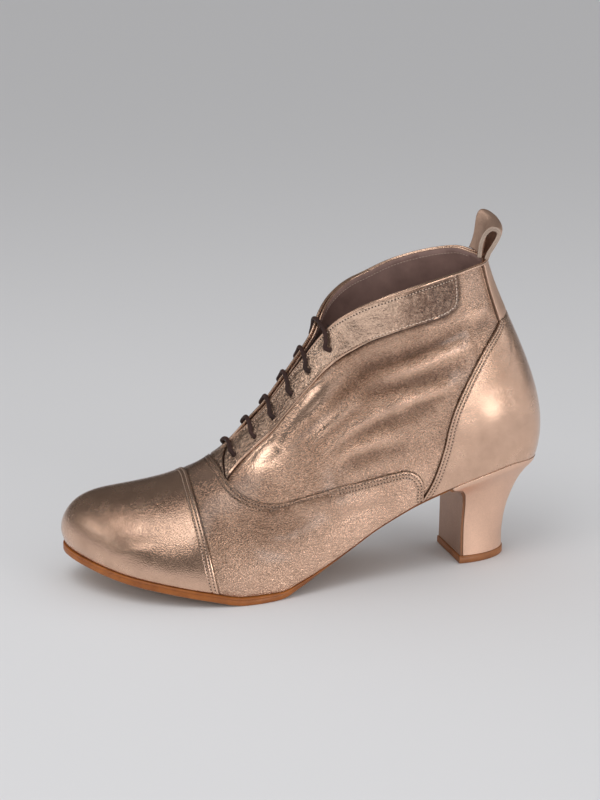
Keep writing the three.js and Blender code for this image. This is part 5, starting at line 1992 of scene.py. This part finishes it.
def facing_row(name, line, material, kept, lift, sizes):
    """One row along a line on a facing, kept only between two stations."""
    if kept:
        station = np.abs(RidgeMap.spot(line)[0])
        line = line[(station > kept[0]) & (station < kept[1])]
    points, normals = on_panel(RidgeMap, line, 0.0, facing_relief, lift)
    lay_row(name, points, normals, material, sizes)


def edge_row(side, distance, start, end):
    """A line on the ridge map at a distance below the throat's and the collar's edge."""
    line = top_edge(start, end, side, 0.0)
    line[:, 1] = side * distance
    return line


def no_relief(points, station, up, flat):
    return np.zeros(len(points))


BAND_STATIONS = (2.0, 5.7)
FINE_STATIONS = (5.6, 11.0)
for side, line, word in ((1, facing_line, "outer"), (-1, facing_line_inner, "inner")):
    lower = beside(RidgeMap, line, -side * FACING_ROW)
    inside = inside_polygon(lower, outer_facing_outline if side > 0 else inner_facing_outline)
    if inside.mean() < 0.5:
        lower = beside(RidgeMap, line, side * FACING_ROW)
    between_stitches = beside(RidgeMap, lower, 0.01)
    between_stitches = between_stitches + unit(np.gradient(between_stitches, axis=0)) * NEEDLE_SHIFT
    throat = edge_row(side, 1.9, 10.3, 3.1)
    for kind, row, material, kept, lift, sizes in (
        ("facing_thread", lower, thread_cotton, FINE_STATIONS, 0.05, THREAD),
        ("facing_needle", between_stitches, needle_hole_shade, FINE_STATIONS, 0.05, NEEDLE),
        ("band_thread", lower, pale_cotton, BAND_STATIONS, 0.1, BAND_THREAD),
        ("throat_thread", throat, pale_cotton, None, 0.03, THREAD),
        ("throat_needle", throat + (NEEDLE_SHIFT, 0), needle_hole_shade, None, 0.03, NEEDLE),
    ):
        facing_row(f"{word}_{kind}", row, material, kept, lift, sizes)
    lining_row = edge_row(side, 2.6, 9.5, 1.3)
    points, normals = on_panel(RidgeMap, lining_row, LINING_INNER - 0.03, no_relief, 0.0)
    lay_row(f"{word}_lining_thread", points, normals, lining_cotton, THREAD)

# Floor, light and surroundings
# A pale studio floor under a wide soft sky that gives no reflection. A soft panel hangs high before the toe,
# a larger one stands low on the heel's side, like a window, and two small ones light the toe and the back.
FLOOR_HALF = 120.0
floor_corners = [(x * FLOOR_HALF, y * FLOOR_HALF, 0) for x, y in ((-1, -1), (1, -1), (1, 1), (-1, 1))]
floor_mesh = bpy.data.meshes.new("floor")
floor_mesh.from_pydata(floor_corners, [], [(0, 1, 2, 3)])
floor_mesh.materials.append(plain_finish("floor_paint", (0.7, 0.7, 0.715), 0.75))
floor = bpy.data.objects.new("floor", floor_mesh)
bpy.context.collection.objects.link(floor)

world = bpy.data.worlds.new("studio")
bpy.context.scene.world = world
world.use_nodes = True
world.node_tree.nodes["Background"].inputs["Color"].default_value = (0.82, 0.8, 0.8, 1)
world.node_tree.nodes["Background"].inputs["Strength"].default_value = 0.055


def soft_light(name, position, target, width, height, power):
    light = bpy.data.lights.new(name, "AREA")
    light.shape = "RECTANGLE"
    light.size = width
    light.size_y = height
    light.energy = power
    lamp = bpy.data.objects.new(name, light)
    lamp.location = position
    lamp.rotation_euler = (Vector(target) - Vector(position)).to_track_quat("-Z", "Y").to_euler()
    bpy.context.collection.objects.link(lamp)


soft_light("overhead_light", (0.6, 0.5, 1.3), (0.12, 0, 0.08), 0.7, 0.9, 5.5)
soft_light("toe_side_light", (1.3, 0.1, 0.55), (0.18, 0, 0.05), 0.7, 0.4, 1.6)
soft_light("window_light", (-0.95, 1.55, 0.4), (0.05, 0, 0.06), 0.8, 0.6, 9)
soft_light("heel_side_light", (-1.25, 0.3, 0.35), (0.0, 0, 0.08), 0.7, 0.5, 1.5)
sky = bpy.data.lights.new("sky_light", "SUN")
sky.energy = 2.05
sky.angle = math.radians(150)
sky_lamp = bpy.data.objects.new("sky_light", sky)
sky_lamp.rotation_euler = Vector((-0.35, -0.25, -1.0)).to_track_quat("-Z", "Y").to_euler()
sky_lamp.visible_glossy = False
bpy.context.collection.objects.link(sky_lamp)
bpy.context.scene.view_settings.view_transform = "Standard"
